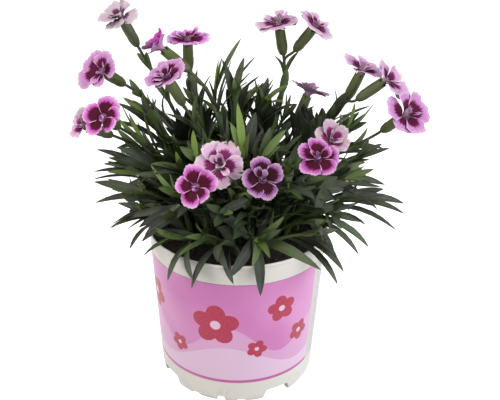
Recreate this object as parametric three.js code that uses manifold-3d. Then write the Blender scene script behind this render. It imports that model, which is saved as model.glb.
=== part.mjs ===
import * as THREE from 'three';
import { mergeVertices } from 'three/addons/utils/BufferGeometryUtils.js';
import Module from 'manifold-3d';

// A garden pink, a tufted dianthus in flower, in its moulded plastic pot with a printed label.
// Millimetres, +Z up. The origin is the middle of the pot's foot. The front faces -Y.

// ---- Pot -----------------------------------------------------------------------------
const POT_HEIGHT = 110.5;
const POT_RIM_RADIUS = 60.2; // where the wall's slope would meet the rim
const POT_BASE_RADIUS = 53.6; // where the wall's slope would meet the ground
const POT_SIDES = 32;
const WALL = 2.4;
const BEAD_HEIGHT = 2.2; // the thickened lip
const BEAD_PROUD = 0.4;
const FLOOR_UNDERSIDE = 8.2; // the floor stands clear of the ground on its skirt
const FLOOR_THICKNESS = 2.5;
const SKIRT_WIDTH = 2.7; // at the ground
const SKIRT_DRAFT = 1; // how much wider it is where it meets the floor
const FOOT_RADIUS = 51.9; // at the ground, below the rounded heel
const HEEL_HEIGHT = 4;
const PAD_RADIUS = 9; // the round pad under the middle of the floor
const PAD_SIDES = 12;
const PAD_SUNK = 1; // into the floor

// The skirt's cut-outs: a wide arch in each quarter, and shallow scallops in each foot.
const QUARTERS = 4;
const FIRST_ARCH_BEARING = -59;
const ARCH_WIDTH = 22;
const ARCH_HEIGHT = 7.6;
const FOOT_FROM_ARCH = -45; // degrees from an arch to the middle of the foot beside it
const SCALLOP_WIDTH = 6.5;
const SCALLOPS = [[2.5, 4.5], [17.5, 2.7], [-17, 2.6]]; // degrees from the foot's middle, height
const CUT_TOP = 0.7; // the top of a cut-out, as a share of its width at the ground
const CUT_FROM_RADIUS = 46;
const CUT_LENGTH = 10;
const CUT_BELOW = 1; // below the ground

const DRAIN_HOLES = 6;
const DRAIN_RADIUS = 2.8;
const DRAIN_SIDES = 5;
const DRAIN_CIRCLE = 30;

// ---- Label ---------------------------------------------------------------------------
const GAP = 0.3; // between pieces that touch
const LABEL_BOTTOM = 16.8;
const LABEL_TOP = 96.2;
const FILM = 0.5;
const RECESS = FILM + GAP; // the wall steps in, so that the film lies flush

// ---- Soil ----------------------------------------------------------------------------
const SOIL_TOP = 105.5;
const SOIL_RINGS = [[38, 16]]; // radius and corners of the surface's inner rings
const SOIL_SWELL = 0.9; // height of the surface's lumps
const SOIL_LUMP = 9; // spacing of the lumps
const PLACES_RADIUS = 42; // the disc of soil that stems stand in
const GOLDEN_TURN = Math.PI * (3 - Math.sqrt(5));
const ROOTED = 10; // how deep a stem's foot stands in the soil
const ABOVE_SOIL = 2.5; // how far a stem rises straight before it bends
const HOLE_GAP = 0.4;
const SWAP_GAIN = 0.001; // square millimetres that two stems must gain to swap places

// ---- Stems ---------------------------------------------------------------------------
const STEM_SIDES = 4;
const SHOOT_RADII = [1.6, 1.6, 1.4, 1.1]; // leafy shoot, from foot to tip
const FLOWER_STEM_RADII = [1.5, 1.5, 1.3, 1.1, 1, 0.95, 0.95];
const BRANCH_RADII = [0.8, 0.9, 0.9, 0.95];
const STEM_FOOT_SHARE = 0.36; // a stem's foot stands this share of the way out to its head
const SHOOT_FOOT_SHARE = 0.62;
const SHOOT_RISE = 0.55; // share of a shoot's height at which its curve turns outwards
const STEM_RISE = 0.42; // the same for a flowering stem, as a share of its length
const STEM_ARRIVAL = 0.3; // share of its length over which it lines up with its flower

// ---- Leaves --------------------------------------------------------------------------
const SEED = 11;
// Which draw from the seeded rule settles what.
const DRAW_BLOOM_TURN = 1;
const DRAW_RISE = 2;
const DRAW_SIZE = 3;
const DRAW_FRINGE = 5;
const DRAW_PAIR_TURN = 7;
const DRAW_BLADE_TURN = 8; // and the next one for the other blade of the pair
const DRAW_BLADE_SPREAD = 10;
const DRAW_BLADE_LENGTH = 12;
const BRACT_DRAWS = 10; // bracts count on from here, where pairs of blades count from 0
const BLADE_STATIONS = [[0, 0.26], [0.26, 0.95], [0.68, 0.8]]; // share along, share of width
const BRACT_STATIONS = [[0, 0.3], [0.35, 1]];
const ROOT_ASIDE = 0.4; // from the stem's middle towards the blade's side
const KEEL = 0.95; // depth of the keel under the blade
const BLADE_WIDTH = 6;
const SIDE_BLADE_WIDTH = 4.8; // of the blades whose points stand out at the tuft's sides
const SIDE_FROM = 72; // distance of those points from the middle, along X
const YOUNG_WIDTH = 4;
const BLADE_LENGTH = 54;
const YOUNG_LENGTH = 30;
const BOW = 0.14; // how far a blade arches, as a share of its length
const BOW_MIDDLE = 0.45; // where it arches most, as a share of its length
const BLADE_CLEARANCE = 0.35; // kept all round a blade, to anything it isn't joined to
const PAIR_TURN = 90; // each pair stands across the pair below it
const PAIR_SPREADS = [54, 34]; // degrees between blade and stem, in the lowest and top pair
const PAIR_SHARES = [0.4, 1]; // where a shoot's lowest and top pair grow, as shares of the way up
const STEM_PAIR_SHARE = 0.3; // where a flowering stem's one pair grows
const BRACT_SPREAD = 34;
const BRACT_LENGTHS = [22, 16];
const UNEVEN_TURN = 0.5; // radians
const UNEVEN_SPREAD = 0.3; // these two as shares
const UNEVEN_LENGTH = 0.2;
// Where a blade would cross something its point moves, sideways and upwards by these shares
// of its length, and then the blade is shorter.
const SHIFTS = [
  [0, 0], [0.07, 0], [-0.07, 0], [0, 0.07], [0, -0.07], [0.14, 0.04], [-0.14, 0.04],
  [0.14, -0.05], [-0.14, -0.05], [0.22, 0.08], [-0.22, 0.08], [0, 0.16], [0.3, 0], [-0.3, 0],
];
const SHORTER = [1, 0.85, 0.7, 0.55];

// ---- Flowers -------------------------------------------------------------------------
const PETALS = 5;
const CALYX_LENGTH = 22; // from the calyx's foot to the face of the flower
const CALYX_MOUTH = 18.6;
const CALYX_TOOTH = 20.2;
const CALYX_BASE = [[0, 1], [2.2, 2.7]]; // height above the foot, radius
const SCALE_TIPS = [[4.5, 3.2], [8.5, 3.7]]; // notch and tip of the scales round the foot
const SCALES_END = [5, 2.75];
const MOUTH_RADIUS = 3.5;
const BORE_BOTTOM = 14.5;
const CLAW_LENGTH = 4.6; // the petals' narrow claws, packed in the calyx
const TUFT_HEIGHT = 1.7; // the pale tuft at the flower's centre
const PETAL_OVERLAP = 6; // degrees that a petal reaches over its neighbour, on each side
const PETAL_TEETH = 5;
const TOOTH_DEPTH = 0.085; // as a share of the petal's length
const PETAL_ROUND = 0.1; // how much shorter a petal's corners are than its middle
const PETAL_CROWN = [[-0.5, 0.7], [0, 0.74], [0.5, 0.7]]; // thick points: share of angle, of length
const PETAL_FLANK = [0.88, 0.56];
const PETAL_ROOT = [0.2, 0.07]; // distance of the root from the centre, and half its width
const PETAL_HALF_THICKNESS = 0.42;
const PETAL_TWIST = 13; // degrees that a flat petal is tilted, so that each lies over the next
const RUFFLE = 0.035; // waves of the fringe, as a share of the petal's length
const RUFFLE_TURN = 1.7;
const UNEVEN_RISE = 9; // degrees
const UNEVEN_SIZE = 0.1;
const NEARLY_UPRIGHT = 0.9; // above this a flower's frame is taken from +Y instead of from +Z

// ---- Finishes ------------------------------------------------------------------------
const POT_FINISH = { color: 0xe9e9e2, roughness: 0.45 };
const LABEL_FINISH = { color: 0xe9a5cf, roughness: 0.4 };
const PEAT_FINISH = { color: 0x2b211b, roughness: 0.95 };
const LEAF_FINISH = { color: 0x4a5a45, roughness: 0.6 };
const STEM_FINISH = { color: 0x7f9a55, roughness: 0.6 };
const PETAL_FINISH = { color: 0xc65fae, roughness: 0.6 };

// ---- Where everything grows ----------------------------------------------------------
// Flowering stems. For each flower: the middle of its face, the way it faces, its width, and
// how many degrees its petals rise. A second flower branches off at the share given by fork.
// bracts are the pairs of small leaves, by their shares of the way up the stem.
const FLOWERING_STEMS = [
  { flowers: [[[-75, 20, 245], [-0.46, 0, 0.89], 27, 12]], bracts: [0.62, 0.84] },
  { flowers: [[[-48, 0, 230], [-0.75, 0.1, 0.6], 23, 32]], bracts: [0.6, 0.85] },
  { flowers: [[[-33, 20, 230], [0, -0.1, 0.99], 29, 4]], bracts: [0.8] },
  { flowers: [[[-82, -20, 221], [-0.5, -0.65, 0.57], 27, 4]], bracts: [0.62, 0.82] },
  { flowers: [[[-80, -40, 199], [-0.3, -0.77, 0.56], 26, 8]], bracts: [0.7] },
  { flowers: [[[-94, -24, 188], [-0.65, -0.55, 0.5], 22, 20]], bracts: [0.72] },
  { flowers: [[[-42, -34, 222], [-0.4, -0.3, 0.86], 26, 14]], bracts: [0.78] },
  {
    flowers: [[[25, 25, 240], [-0.17, -0.1, 0.98], 28, 3], [[48, 20, 240], [0.56, -0.2, 0.8], 27, 3]],
    fork: 0.95,
    bracts: [0.84],
  },
  { flowers: [[[46, 25, 194], [0.36, 0.25, 0.9], 27, 14]], bracts: [0.7] },
  {
    flowers: [[[78, 10, 214], [0.38, -0.08, 0.92], 28, 13], [[92, 0, 211], [0.8, 0, 0.6], 28, 14]],
    fork: 0.95,
    bracts: [0.8],
  },
  { flowers: [[[103, -18, 194.5], [0.56, -0.48, 0.67], 30, 20]], bracts: [0.7] },
  { flowers: [[[55, -38, 185], [0.3, -0.7, 0.65], 25, 24]], bracts: [0.75] },
  { flowers: [[[46, -58, 182], [0.12, -0.62, 0.77], 26, 8]], bracts: [0.75] },
  { flowers: [[[14, -66, 172], [0.08, -0.86, 0.5], 25, 8]], bracts: [0.75] },
  { flowers: [[[-11, -44, 171], [0.02, -0.8, 0.6], 29, 7]], bracts: [0.78] },
  { flowers: [[[-25, -65, 166], [-0.2, -0.88, 0.43], 26, 7]], bracts: [0.72] },
];

// Leafy shoots. tip is where the growing point stands, pairs is how many pairs of leaves it
// carries besides its blades, and blades are its longest leaves, each by the share of the way
// up the shoot where it grows and the place of its point.
const LEAFY_SHOOTS = [
  { tip: [-33, -43, 121], pairs: 0, blades: [[0.8, -43, -62, 101], [0.9, -27, -66, 104], [0.6, -57, -42, 120]] },
  { tip: [-11, -46, 121], pairs: 2, blades: [[0.85, -28, -69, 100], [0.7, -5, -69, 100], [1, -7, -66, 112]] },
  { tip: [11, -47, 123], pairs: 2, blades: [[0.8, -5, -68, 107], [0.9, 14, -71, 96], [0.7, 7, -70, 108]] },
  { tip: [39, -38, 121], pairs: 0, blades: [[0.75, 63, -54, 94], [0.9, 67, -50, 101], [1, 62, -52, 112]] },
  { tip: [50, -20, 127], pairs: 0, blades: [[0.8, 79, -30, 102], [0.9, 87, -20, 102], [0.7, 65, -30, 118]] },
  { tip: [64, -4, 128], pairs: 2, blades: [[0.75, 107, -7, 108], [0.9, 113, 0, 117], [1, 114, 9, 120.5]] },
  { tip: [61, 5, 142], pairs: 3, blades: [[0.85, 92, -12, 126], [0.9, 99, 6, 136]] },
  { tip: [56, 3, 166], pairs: 3, blades: [[0.9, 84, 0, 194], [0.8, 95, -4, 162], [0.97, 78, 6, 188]] },
  { tip: [14, 8, 186], pairs: 2, blades: [[1, 11, 9, 212], [0.8, 21, 12, 208], [0.65, 36, -6, 197]] },
  { tip: [-3, 4, 193], pairs: 2, blades: [[1, 1, 9, 234], [0.8, -11, 9, 221], [0.65, 9, 14, 221]] },
  { tip: [-24, 0, 184], pairs: 2, blades: [[1, -27, 9, 213], [0.82, -36, 4, 206], [0.65, -46, -12, 192]] },
  { tip: [-51, 0, 176], pairs: 2, blades: [[1, -64, 2, 203], [0.8, -76, 0, 196], [0.62, -80, -4, 184]] },
  { tip: [-61, -8, 148], pairs: 2, blades: [[0.9, -92, -4, 164], [0.8, -94, -8, 150], [0.7, -92.5, -20, 150]] },
  { tip: [-51, -26, 127], pairs: 2, blades: [[0.85, -82, -31, 121], [0.75, -78, -14, 128], [0.9, -68, -44, 113]] },
  { tip: [-31, -31, 157], pairs: 3, blades: [[0.9, -50, -52, 168]] },
  { tip: [28, -33, 158], pairs: 3, blades: [[0.9, 48, -44, 150]] },
  { tip: [2, -34, 158], pairs: 3, blades: [] },
  { tip: [62, 34, 134], pairs: 4, blades: [] },
  { tip: [24, 64, 130], pairs: 3, blades: [] },
  { tip: [-22, 62, 132], pairs: 3, blades: [] },
  { tip: [-60, 32, 138], pairs: 4, blades: [] },
  { tip: [2, 38, 172], pairs: 4, blades: [] },
];

// ---- Plain tools for shapes ----------------------------------------------------------
const wasm = await Module();
wasm.setup();

const UP = new THREE.Vector3(0, 0, 1);

function vector(numbers) {
  return new THREE.Vector3(...numbers);
}

function radians(degrees) {
  return THREE.MathUtils.degToRad(degrees);
}

function between([first, last], share) {
  return first + (last - first) * share;
}

// The part of a vector that is square to a unit direction, as a unit vector.
function squareTo(vec, direction) {
  return vec.clone().addScaledVector(direction, -vec.dot(direction)).normalize();
}

// A repeatable draw between 0 and 1 from three whole numbers.
function chance(a, b, c) {
  const wave = Math.sin(SEED + a * 12.9898 + b * 78.233 + c * 37.719) * 43758.5453;
  return wave - Math.floor(wave);
}

function closedGeometry(corners, faces) {
  const geometry = new THREE.BufferGeometry();
  geometry.setAttribute('position', new THREE.Float32BufferAttribute(corners.flatMap((p) => p.toArray()), 3));
  geometry.setIndex(faces.flat());
  return geometry;
}

// Joins two rings of corners, of any two counts, by a band of triangles that faces outwards
// when both run anticlockwise seen from the second.
function bandBetween(lower, upper) {
  const band = [];
  let i = 0;
  let j = 0;
  const lowerSteps = lower.length > 1 ? lower.length : 0;
  const upperSteps = upper.length > 1 ? upper.length : 0;
  while (i < lowerSteps || j < upperSteps) {
    const onLower = j >= upperSteps || (i < lowerSteps && (i + 1) / lowerSteps <= (j + 1) / upperSteps);
    const low = lower[i % lower.length];
    const high = upper[j % upper.length];
    if (onLower) {
      band.push([low, lower[(i + 1) % lower.length], high]);
      i += 1;
    } else {
      band.push([low, upper[(j + 1) % upper.length], high]);
      j += 1;
    }
  }
  return band;
}

// A closed skin over a row of rings; a ring of one corner is a point.
function skin(rings) {
  const corners = rings.flat();
  const faces = [];
  const numbered = [];
  let first = 0;
  for (const ring of rings) {
    numbered.push(ring.map((_, k) => first + k));
    first += ring.length;
  }
  for (let k = 0; k + 1 < numbered.length; k += 1) faces.push(...bandBetween(numbered[k], numbered[k + 1]));
  const start = numbered[0];
  const end = numbered[numbered.length - 1];
  for (let k = 1; k + 1 < start.length; k += 1) faces.push([start[0], start[k + 1], start[k]]);
  for (let k = 1; k + 1 < end.length; k += 1) faces.push([end[0], end[k], end[k + 1]]);
  return closedGeometry(corners, faces);
}

function toSolid(geometry) {
  const bare = geometry.clone();
  bare.deleteAttribute('normal');
  bare.deleteAttribute('uv');
  const merged = mergeVertices(bare);
  const index = merged.index.array;
  const triangles = [];
  for (let k = 0; k < index.length; k += 3) {
    const [a, b, c] = [index[k], index[k + 1], index[k + 2]];
    if (a !== b && b !== c && c !== a) triangles.push(a, b, c);
  }
  const mesh = new wasm.Mesh({
    numProp: 3,
    vertProperties: new Float32Array(merged.attributes.position.array),
    triVerts: new Uint32Array(triangles),
  });
  return new wasm.Manifold(mesh);
}

function toGeometry(solid) {
  const mesh = solid.getMesh();
  const geometry = new THREE.BufferGeometry();
  geometry.setAttribute('position', new THREE.BufferAttribute(mesh.vertProperties, 3));
  geometry.setIndex(new THREE.BufferAttribute(mesh.triVerts, 1));
  geometry.computeVertexNormals();
  return geometry;
}

// Joins solids into one body: a scrap that hangs loose is dropped and a sealed hollow is filled.
function fused(solids) {
  const bodies = wasm.Manifold.union(solids).decompose();
  return bodies.reduce((best, body) => (body.volume() > best.volume() ? body : best));
}

function touches(boxA, boxB) {
  return [0, 1, 2].every((k) => boxA.min[k] <= boxB.max[k] && boxB.min[k] <= boxA.max[k]);
}

function crosses(solid, other) {
  return touches(solid.boundingBox(), other.boundingBox()) && !solid.intersect(other).isEmpty();
}

const plant = new THREE.Group();

function numbered(name, k) {
  return `${name}_${String(k + 1).padStart(2, '0')}`;
}

function place(name, solid, finish) {
  const mesh = new THREE.Mesh(
    toGeometry(solid),
    new THREE.MeshStandardMaterial({ ...finish, metalness: 0, flatShading: true }),
  );
  mesh.name = name;
  plant.add(mesh);
}

// ---- The pot: a tapered moulded wall with a bead at the rim, standing on a cut-out skirt --
function wallRadius(z) {
  return POT_BASE_RADIUS + ((POT_RIM_RADIUS - POT_BASE_RADIUS) * z) / POT_HEIGHT;
}

function innerRadius(z) {
  return wallRadius(z) - WALL;
}

function turned(profile) {
  const points = profile.map(([r, z]) => new THREE.Vector2(r, z));
  return toSolid(new THREE.LatheGeometry(points, POT_SIDES).rotateX(Math.PI / 2));
}

// A bar that points outwards at a bearing and cuts an arch in the skirt from the ground up.
function skirtCut(bearing, width, height) {
  const outline = new THREE.Shape([
    new THREE.Vector2(width / 2, 0),
    new THREE.Vector2((width * CUT_TOP) / 2, height),
    new THREE.Vector2((-width * CUT_TOP) / 2, height),
    new THREE.Vector2(-width / 2, 0),
    new THREE.Vector2(0, -CUT_BELOW),
  ]);
  const bar = new THREE.ExtrudeGeometry(outline, { depth: CUT_LENGTH, bevelEnabled: false });
  const outwards = new THREE.Vector3(Math.cos(radians(bearing)), Math.sin(radians(bearing)), 0);
  const along = UP.clone().cross(outwards);
  const pose = new THREE.Matrix4().makeBasis(along, UP, outwards);
  pose.setPosition(outwards.clone().multiplyScalar(CUT_FROM_RADIUS));
  return toSolid(bar.applyMatrix4(pose));
}

function makePot() {
  const floorTop = FLOOR_UNDERSIDE + FLOOR_THICKNESS;
  const beadBottom = POT_HEIGHT - BEAD_HEIGHT;
  const beadRadius = POT_RIM_RADIUS + BEAD_PROUD;
  let pot = turned([
    [0, FLOOR_UNDERSIDE],
    [FOOT_RADIUS - SKIRT_WIDTH - SKIRT_DRAFT, FLOOR_UNDERSIDE],
    [FOOT_RADIUS - SKIRT_WIDTH, 0],
    [FOOT_RADIUS, 0],
    [wallRadius(HEEL_HEIGHT), HEEL_HEIGHT],
    [wallRadius(LABEL_BOTTOM), LABEL_BOTTOM],
    [wallRadius(LABEL_BOTTOM) - RECESS, LABEL_BOTTOM],
    [wallRadius(LABEL_TOP) - RECESS, LABEL_TOP],
    [wallRadius(LABEL_TOP), LABEL_TOP],
    [wallRadius(beadBottom), beadBottom],
    [beadRadius, beadBottom],
    [beadRadius, POT_HEIGHT],
    [innerRadius(POT_HEIGHT), POT_HEIGHT],
    [innerRadius(floorTop), floorTop],
    [0, floorTop],
  ]);
  const pad = new THREE.CylinderGeometry(PAD_RADIUS, PAD_RADIUS, FLOOR_UNDERSIDE + PAD_SUNK, PAD_SIDES);
  pad.rotateX(Math.PI / 2).translate(0, 0, (FLOOR_UNDERSIDE + PAD_SUNK) / 2);
  pot = pot.add(toSolid(pad));
  for (let quarter = 0; quarter < QUARTERS; quarter += 1) {
    const bearing = FIRST_ARCH_BEARING + (quarter * 360) / QUARTERS;
    pot = pot.subtract(skirtCut(bearing, ARCH_WIDTH, ARCH_HEIGHT));
    for (const [aside, height] of SCALLOPS) {
      pot = pot.subtract(skirtCut(bearing + FOOT_FROM_ARCH + aside, SCALLOP_WIDTH, height));
    }
  }
  for (let hole = 0; hole < DRAIN_HOLES; hole += 1) {
    const turn = (hole * 2 * Math.PI) / DRAIN_HOLES;
    const drill = new THREE.CylinderGeometry(DRAIN_RADIUS, DRAIN_RADIUS, FLOOR_THICKNESS * 3, DRAIN_SIDES);
    drill.rotateX(Math.PI / 2);
    drill.translate(DRAIN_CIRCLE * Math.cos(turn), DRAIN_CIRCLE * Math.sin(turn), floorTop);
    pot = pot.subtract(toSolid(drill));
  }
  return pot;
}

// ---- The label: a printed film round the wall, flush in its recess ---------------------
function makeLabel() {
  const bottom = LABEL_BOTTOM + GAP;
  const top = LABEL_TOP - GAP;
  return turned([
    [wallRadius(bottom) - FILM, bottom],
    [wallRadius(bottom), bottom],
    [wallRadius(top), top],
    [wallRadius(top) - FILM, top],
    [wallRadius(bottom) - FILM, bottom],
  ]);
}

// ---- The soil: peat that fills the pot, lumpy on top, with a hole for every stem --------
function soilHeight(x, y) {
  const lumps = Math.sin(x / SOIL_LUMP + 1) * Math.cos(y / SOIL_LUMP) + Math.sin((x + 2 * y) / SOIL_LUMP) / 2;
  return SOIL_TOP + SOIL_SWELL * lumps;
}

function soilRing(radius, corners, height) {
  return Array.from({ length: corners }, (_, k) => {
    const turn = (k * 2 * Math.PI) / corners;
    const x = radius * Math.cos(turn);
    const y = radius * Math.sin(turn);
    return new THREE.Vector3(x, y, height ?? soilHeight(x, y));
  });
}

function makeSoil() {
  const bottom = FLOOR_UNDERSIDE + FLOOR_THICKNESS + GAP;
  const brim = SOIL_TOP - SOIL_SWELL * 2;
  const rings = [
    [new THREE.Vector3(0, 0, bottom)],
    soilRing(innerRadius(bottom) - GAP, POT_SIDES, bottom),
    soilRing(innerRadius(brim) - GAP, POT_SIDES, brim),
    ...SOIL_RINGS.map(([radius, corners]) => soilRing(radius, corners)),
    [new THREE.Vector3(0, 0, soilHeight(0, 0))],
  ];
  return toSolid(skin(rings));
}

// ---- Stems -----------------------------------------------------------------------------
// Rings of corners along a path, each square to it and turned as little as possible.
function ringsAlong(path, radii, sides) {
  const tangentAt = (k) => {
    const next = path[Math.min(k + 1, path.length - 1)];
    return next.clone().sub(path[Math.max(k - 1, 0)]).normalize();
  };
  let side = squareTo(new THREE.Vector3(1, 0, 0), tangentAt(0));
  return path.map((middle, k) => {
    const tangent = tangentAt(k);
    side = squareTo(side, tangent);
    const across = tangent.clone().cross(side);
    return Array.from({ length: sides }, (_, corner) => {
      const turn = (corner * 2 * Math.PI) / sides;
      return middle.clone()
        .addScaledVector(side, radii[k] * Math.cos(turn))
        .addScaledVector(across, radii[k] * Math.sin(turn));
    });
  });
}

function stemSolid(path, radii) {
  return toSolid(skin(ringsAlong(path, radii, STEM_SIDES)));
}

// The stems stand on a golden-angle spiral, which spreads them evenly over the soil. Places are
// swapped until no swap brings two stems nearer to the ones they want.
function sharePlaces(wanted) {
  const spots = wanted.map((_, k) => {
    const radius = PLACES_RADIUS * Math.sqrt((k + 0.5) / wanted.length);
    return new THREE.Vector3(radius * Math.cos(k * GOLDEN_TURN), radius * Math.sin(k * GOLDEN_TURN), 0);
  });
  const cost = (k, spot) => wanted[k].distanceToSquared(spot);
  let swapped = true;
  while (swapped) {
    swapped = false;
    for (let i = 0; i < spots.length; i += 1) {
      for (let j = i + 1; j < spots.length; j += 1) {
        const now = cost(i, spots[i]) + cost(j, spots[j]);
        if (cost(i, spots[j]) + cost(j, spots[i]) < now - SWAP_GAIN) {
          [spots[i], spots[j]] = [spots[j], spots[i]];
          swapped = true;
        }
      }
    }
  }
  return spots;
}

// A leafy shoot rises straight and then bends over to its tip.
function shootCurve(foot, tip) {
  const start = new THREE.Vector3(foot.x, foot.y, SOIL_TOP + ABOVE_SOIL);
  const bend = start.clone().addScaledVector(UP, SHOOT_RISE * (tip.z - start.z));
  return new THREE.QuadraticBezierCurve3(start, bend, tip);
}

// A flowering stem rises straight and comes in line with its flower.
function flowerCurve(start, rising, end, facing) {
  const reach = start.distanceTo(end);
  return new THREE.CubicBezierCurve3(
    start,
    start.clone().addScaledVector(rising, STEM_RISE * reach),
    end.clone().addScaledVector(facing, -STEM_ARRIVAL * reach),
    end,
  );
}

function rootedPath(curve, steps) {
  const start = curve.getPoint(0);
  const rooted = start.clone().setZ(SOIL_TOP - ROOTED);
  return [rooted, ...curve.getPoints(steps)];
}

// ---- Calyx: the ribbed tube that holds the petals, with scales round its foot ------------
function frameAcross(facing) {
  const side = squareTo(Math.abs(facing.z) > NEARLY_UPRIGHT ? new THREE.Vector3(0, 1, 0) : UP, facing);
  return [side, facing.clone().cross(side)];
}

// A ring of corners round a flower's axis; heights and radii are taken in turn.
function flowerRing(foot, facing, steps, corners) {
  const [side, across] = frameAcross(facing);
  return Array.from({ length: corners }, (_, k) => {
    const [height, radius] = steps[k % steps.length];
    const turn = (k * 2 * Math.PI) / corners;
    return foot.clone()
      .addScaledVector(facing, height)
      .addScaledVector(side, radius * Math.cos(turn))
      .addScaledVector(across, radius * Math.sin(turn));
  });
}

function calyxSolid(foot, facing) {
  const plain = (step) => flowerRing(foot, facing, [step], PETALS);
  return toSolid(skin([
    ...CALYX_BASE.map(plain),
    flowerRing(foot, facing, SCALE_TIPS, PETALS * 2),
    plain(SCALES_END),
    flowerRing(foot, facing, [[CALYX_MOUTH, MOUTH_RADIUS], [CALYX_TOOTH, MOUTH_RADIUS]], PETALS * 2),
    [foot.clone().addScaledVector(facing, BORE_BOTTOM)],
  ]));
}

// ---- Corolla: five fringed petals on claws packed in the calyx ---------------------------
// The corners and faces of one petal in its own plane: angle from its middle line, distance
// from the flower's centre, height off the plane, and whether the petal has thickness there.
// The first two are its root.
function petalPatch(halfAngle, key) {
  const corners = [];
  const [rootAlong, rootHalf] = PETAL_ROOT;
  const rootAngle = Math.atan2(rootHalf, rootAlong);
  const rootReach = Math.hypot(rootAlong, rootHalf);
  for (const way of [-1, 1]) corners.push({ angle: way * rootAngle, reach: rootReach, thick: true });
  const [flankShare, flankReach] = PETAL_FLANK;
  for (const way of [-1, 1]) corners.push({ angle: way * flankShare * halfAngle, reach: flankReach });
  for (const [share, reach] of PETAL_CROWN) corners.push({ angle: share * halfAngle, reach, thick: true });
  const [rootLeft, rootRight, flankLeft, flankRight, left, middle, right] = corners.keys();
  const first = corners.length;
  const steps = PETAL_TEETH * 2;
  const last = first + steps;
  for (let k = 0; k <= steps; k += 1) {
    const share = (2 * k) / steps - 1;
    const notch = k % 2 === 0 ? TOOTH_DEPTH : 0;
    const height = RUFFLE * Math.sin(k * RUFFLE_TURN + 2 * Math.PI * chance(key, k, DRAW_FRINGE));
    corners.push({ angle: share * halfAngle, reach: 1 - PETAL_ROUND * share * share - notch, height });
  }
  const faces = [
    [rootLeft, middle, rootRight], [rootLeft, left, middle], [rootLeft, flankLeft, left],
    [rootRight, middle, right], [rootRight, right, flankRight],
    [flankLeft, first, left], [flankRight, right, last],
  ];
  const leftEnd = first + Math.ceil(steps / 3);
  const rightStart = last - Math.ceil(steps / 3);
  for (let k = first; k < last; k += 1) {
    const crown = k < leftEnd ? left : k < rightStart ? middle : right;
    faces.push([crown, k, k + 1]);
  }
  faces.push([left, leftEnd, middle], [middle, rightStart, right]);
  return { corners, faces };
}

// Five petals round a hub that is packed in the calyx, in one closed skin. Corners with
// thickness are doubled, and the petals' margins are sharp.
function corollaSolid([at, faces, width, rise], key) {
  const centre = vector(at);
  const facing = vector(faces).normalize();
  const [side, across] = frameAcross(facing);
  const points = [];
  const shell = [];
  const put = (point) => points.push(point) - 1;
  const hubTop = [];
  const hubBottom = [];
  for (let petal = 0; petal < PETALS; petal += 1) {
    const turn = 2 * Math.PI * (chance(key, 0, DRAW_BLOOM_TURN) + petal / PETALS);
    const lift = radians(rise + UNEVEN_RISE * (chance(key, petal, DRAW_RISE) - 0.5));
    const length = (width / 2) * (1 + UNEVEN_SIZE * (chance(key, petal, DRAW_SIZE) - 0.5));
    const outwards = side.clone().multiplyScalar(Math.cos(turn)).addScaledVector(across, Math.sin(turn));
    const along = outwards.clone().multiplyScalar(Math.cos(lift)).addScaledVector(facing, Math.sin(lift));
    const sideways = facing.clone().cross(outwards);
    const twist = radians(PETAL_TWIST) / Math.cos(lift);
    const breadth = sideways.clone().multiplyScalar(Math.cos(twist));
    breadth.addScaledVector(along.clone().cross(sideways), -Math.sin(twist));
    const normal = along.clone().cross(breadth);
    const overlap = radians(PETAL_OVERLAP) * Math.cos(lift);
    const halfAngle = Math.atan(Math.cos(lift) * Math.tan(Math.PI / PETALS)) + overlap;
    const patch = petalPatch(halfAngle, key * PETALS + petal);
    const top = [];
    const bottom = [];
    patch.corners.forEach(({ angle, reach, height = 0, thick = false }, k) => {
      const point = centre.clone()
        .addScaledVector(along, length * reach * Math.cos(angle))
        .addScaledVector(breadth, length * reach * Math.sin(angle))
        .addScaledVector(normal, length * height);
      const half = thick ? PETAL_HALF_THICKNESS : 0;
      top[k] = put(point.clone().addScaledVector(normal, half));
      bottom[k] = thick ? put(point.clone().addScaledVector(normal, -half)) : top[k];
    });
    for (const [a, b, c] of patch.faces) {
      shell.push([top[a], top[b], top[c]], [bottom[a], bottom[c], bottom[b]]);
    }
    const [rootLeft, rootRight, flankLeft, flankRight] = [0, 1, 2, 3];
    shell.push([top[flankLeft], top[rootLeft], bottom[rootLeft]]);
    shell.push([top[rootRight], top[flankRight], bottom[rootRight]]);
    hubTop.push(top[rootLeft], top[rootRight]);
    hubBottom.push(bottom[rootLeft], bottom[rootRight]);
  }
  for (let k = 1; k < hubTop.length; k += 2) {
    const next = (k + 1) % hubTop.length;
    shell.push([hubBottom[k], hubBottom[next], hubTop[next]], [hubBottom[k], hubTop[next], hubTop[k]]);
  }
  const clawEnd = [put(centre.clone().addScaledVector(facing, -CLAW_LENGTH))];
  const tuft = [put(centre.clone().addScaledVector(facing, TUFT_HEIGHT))];
  shell.push(...bandBetween(clawEnd, hubBottom), ...bandBetween(hubTop, tuft));
  return toSolid(closedGeometry(points, shell));
}

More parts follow.
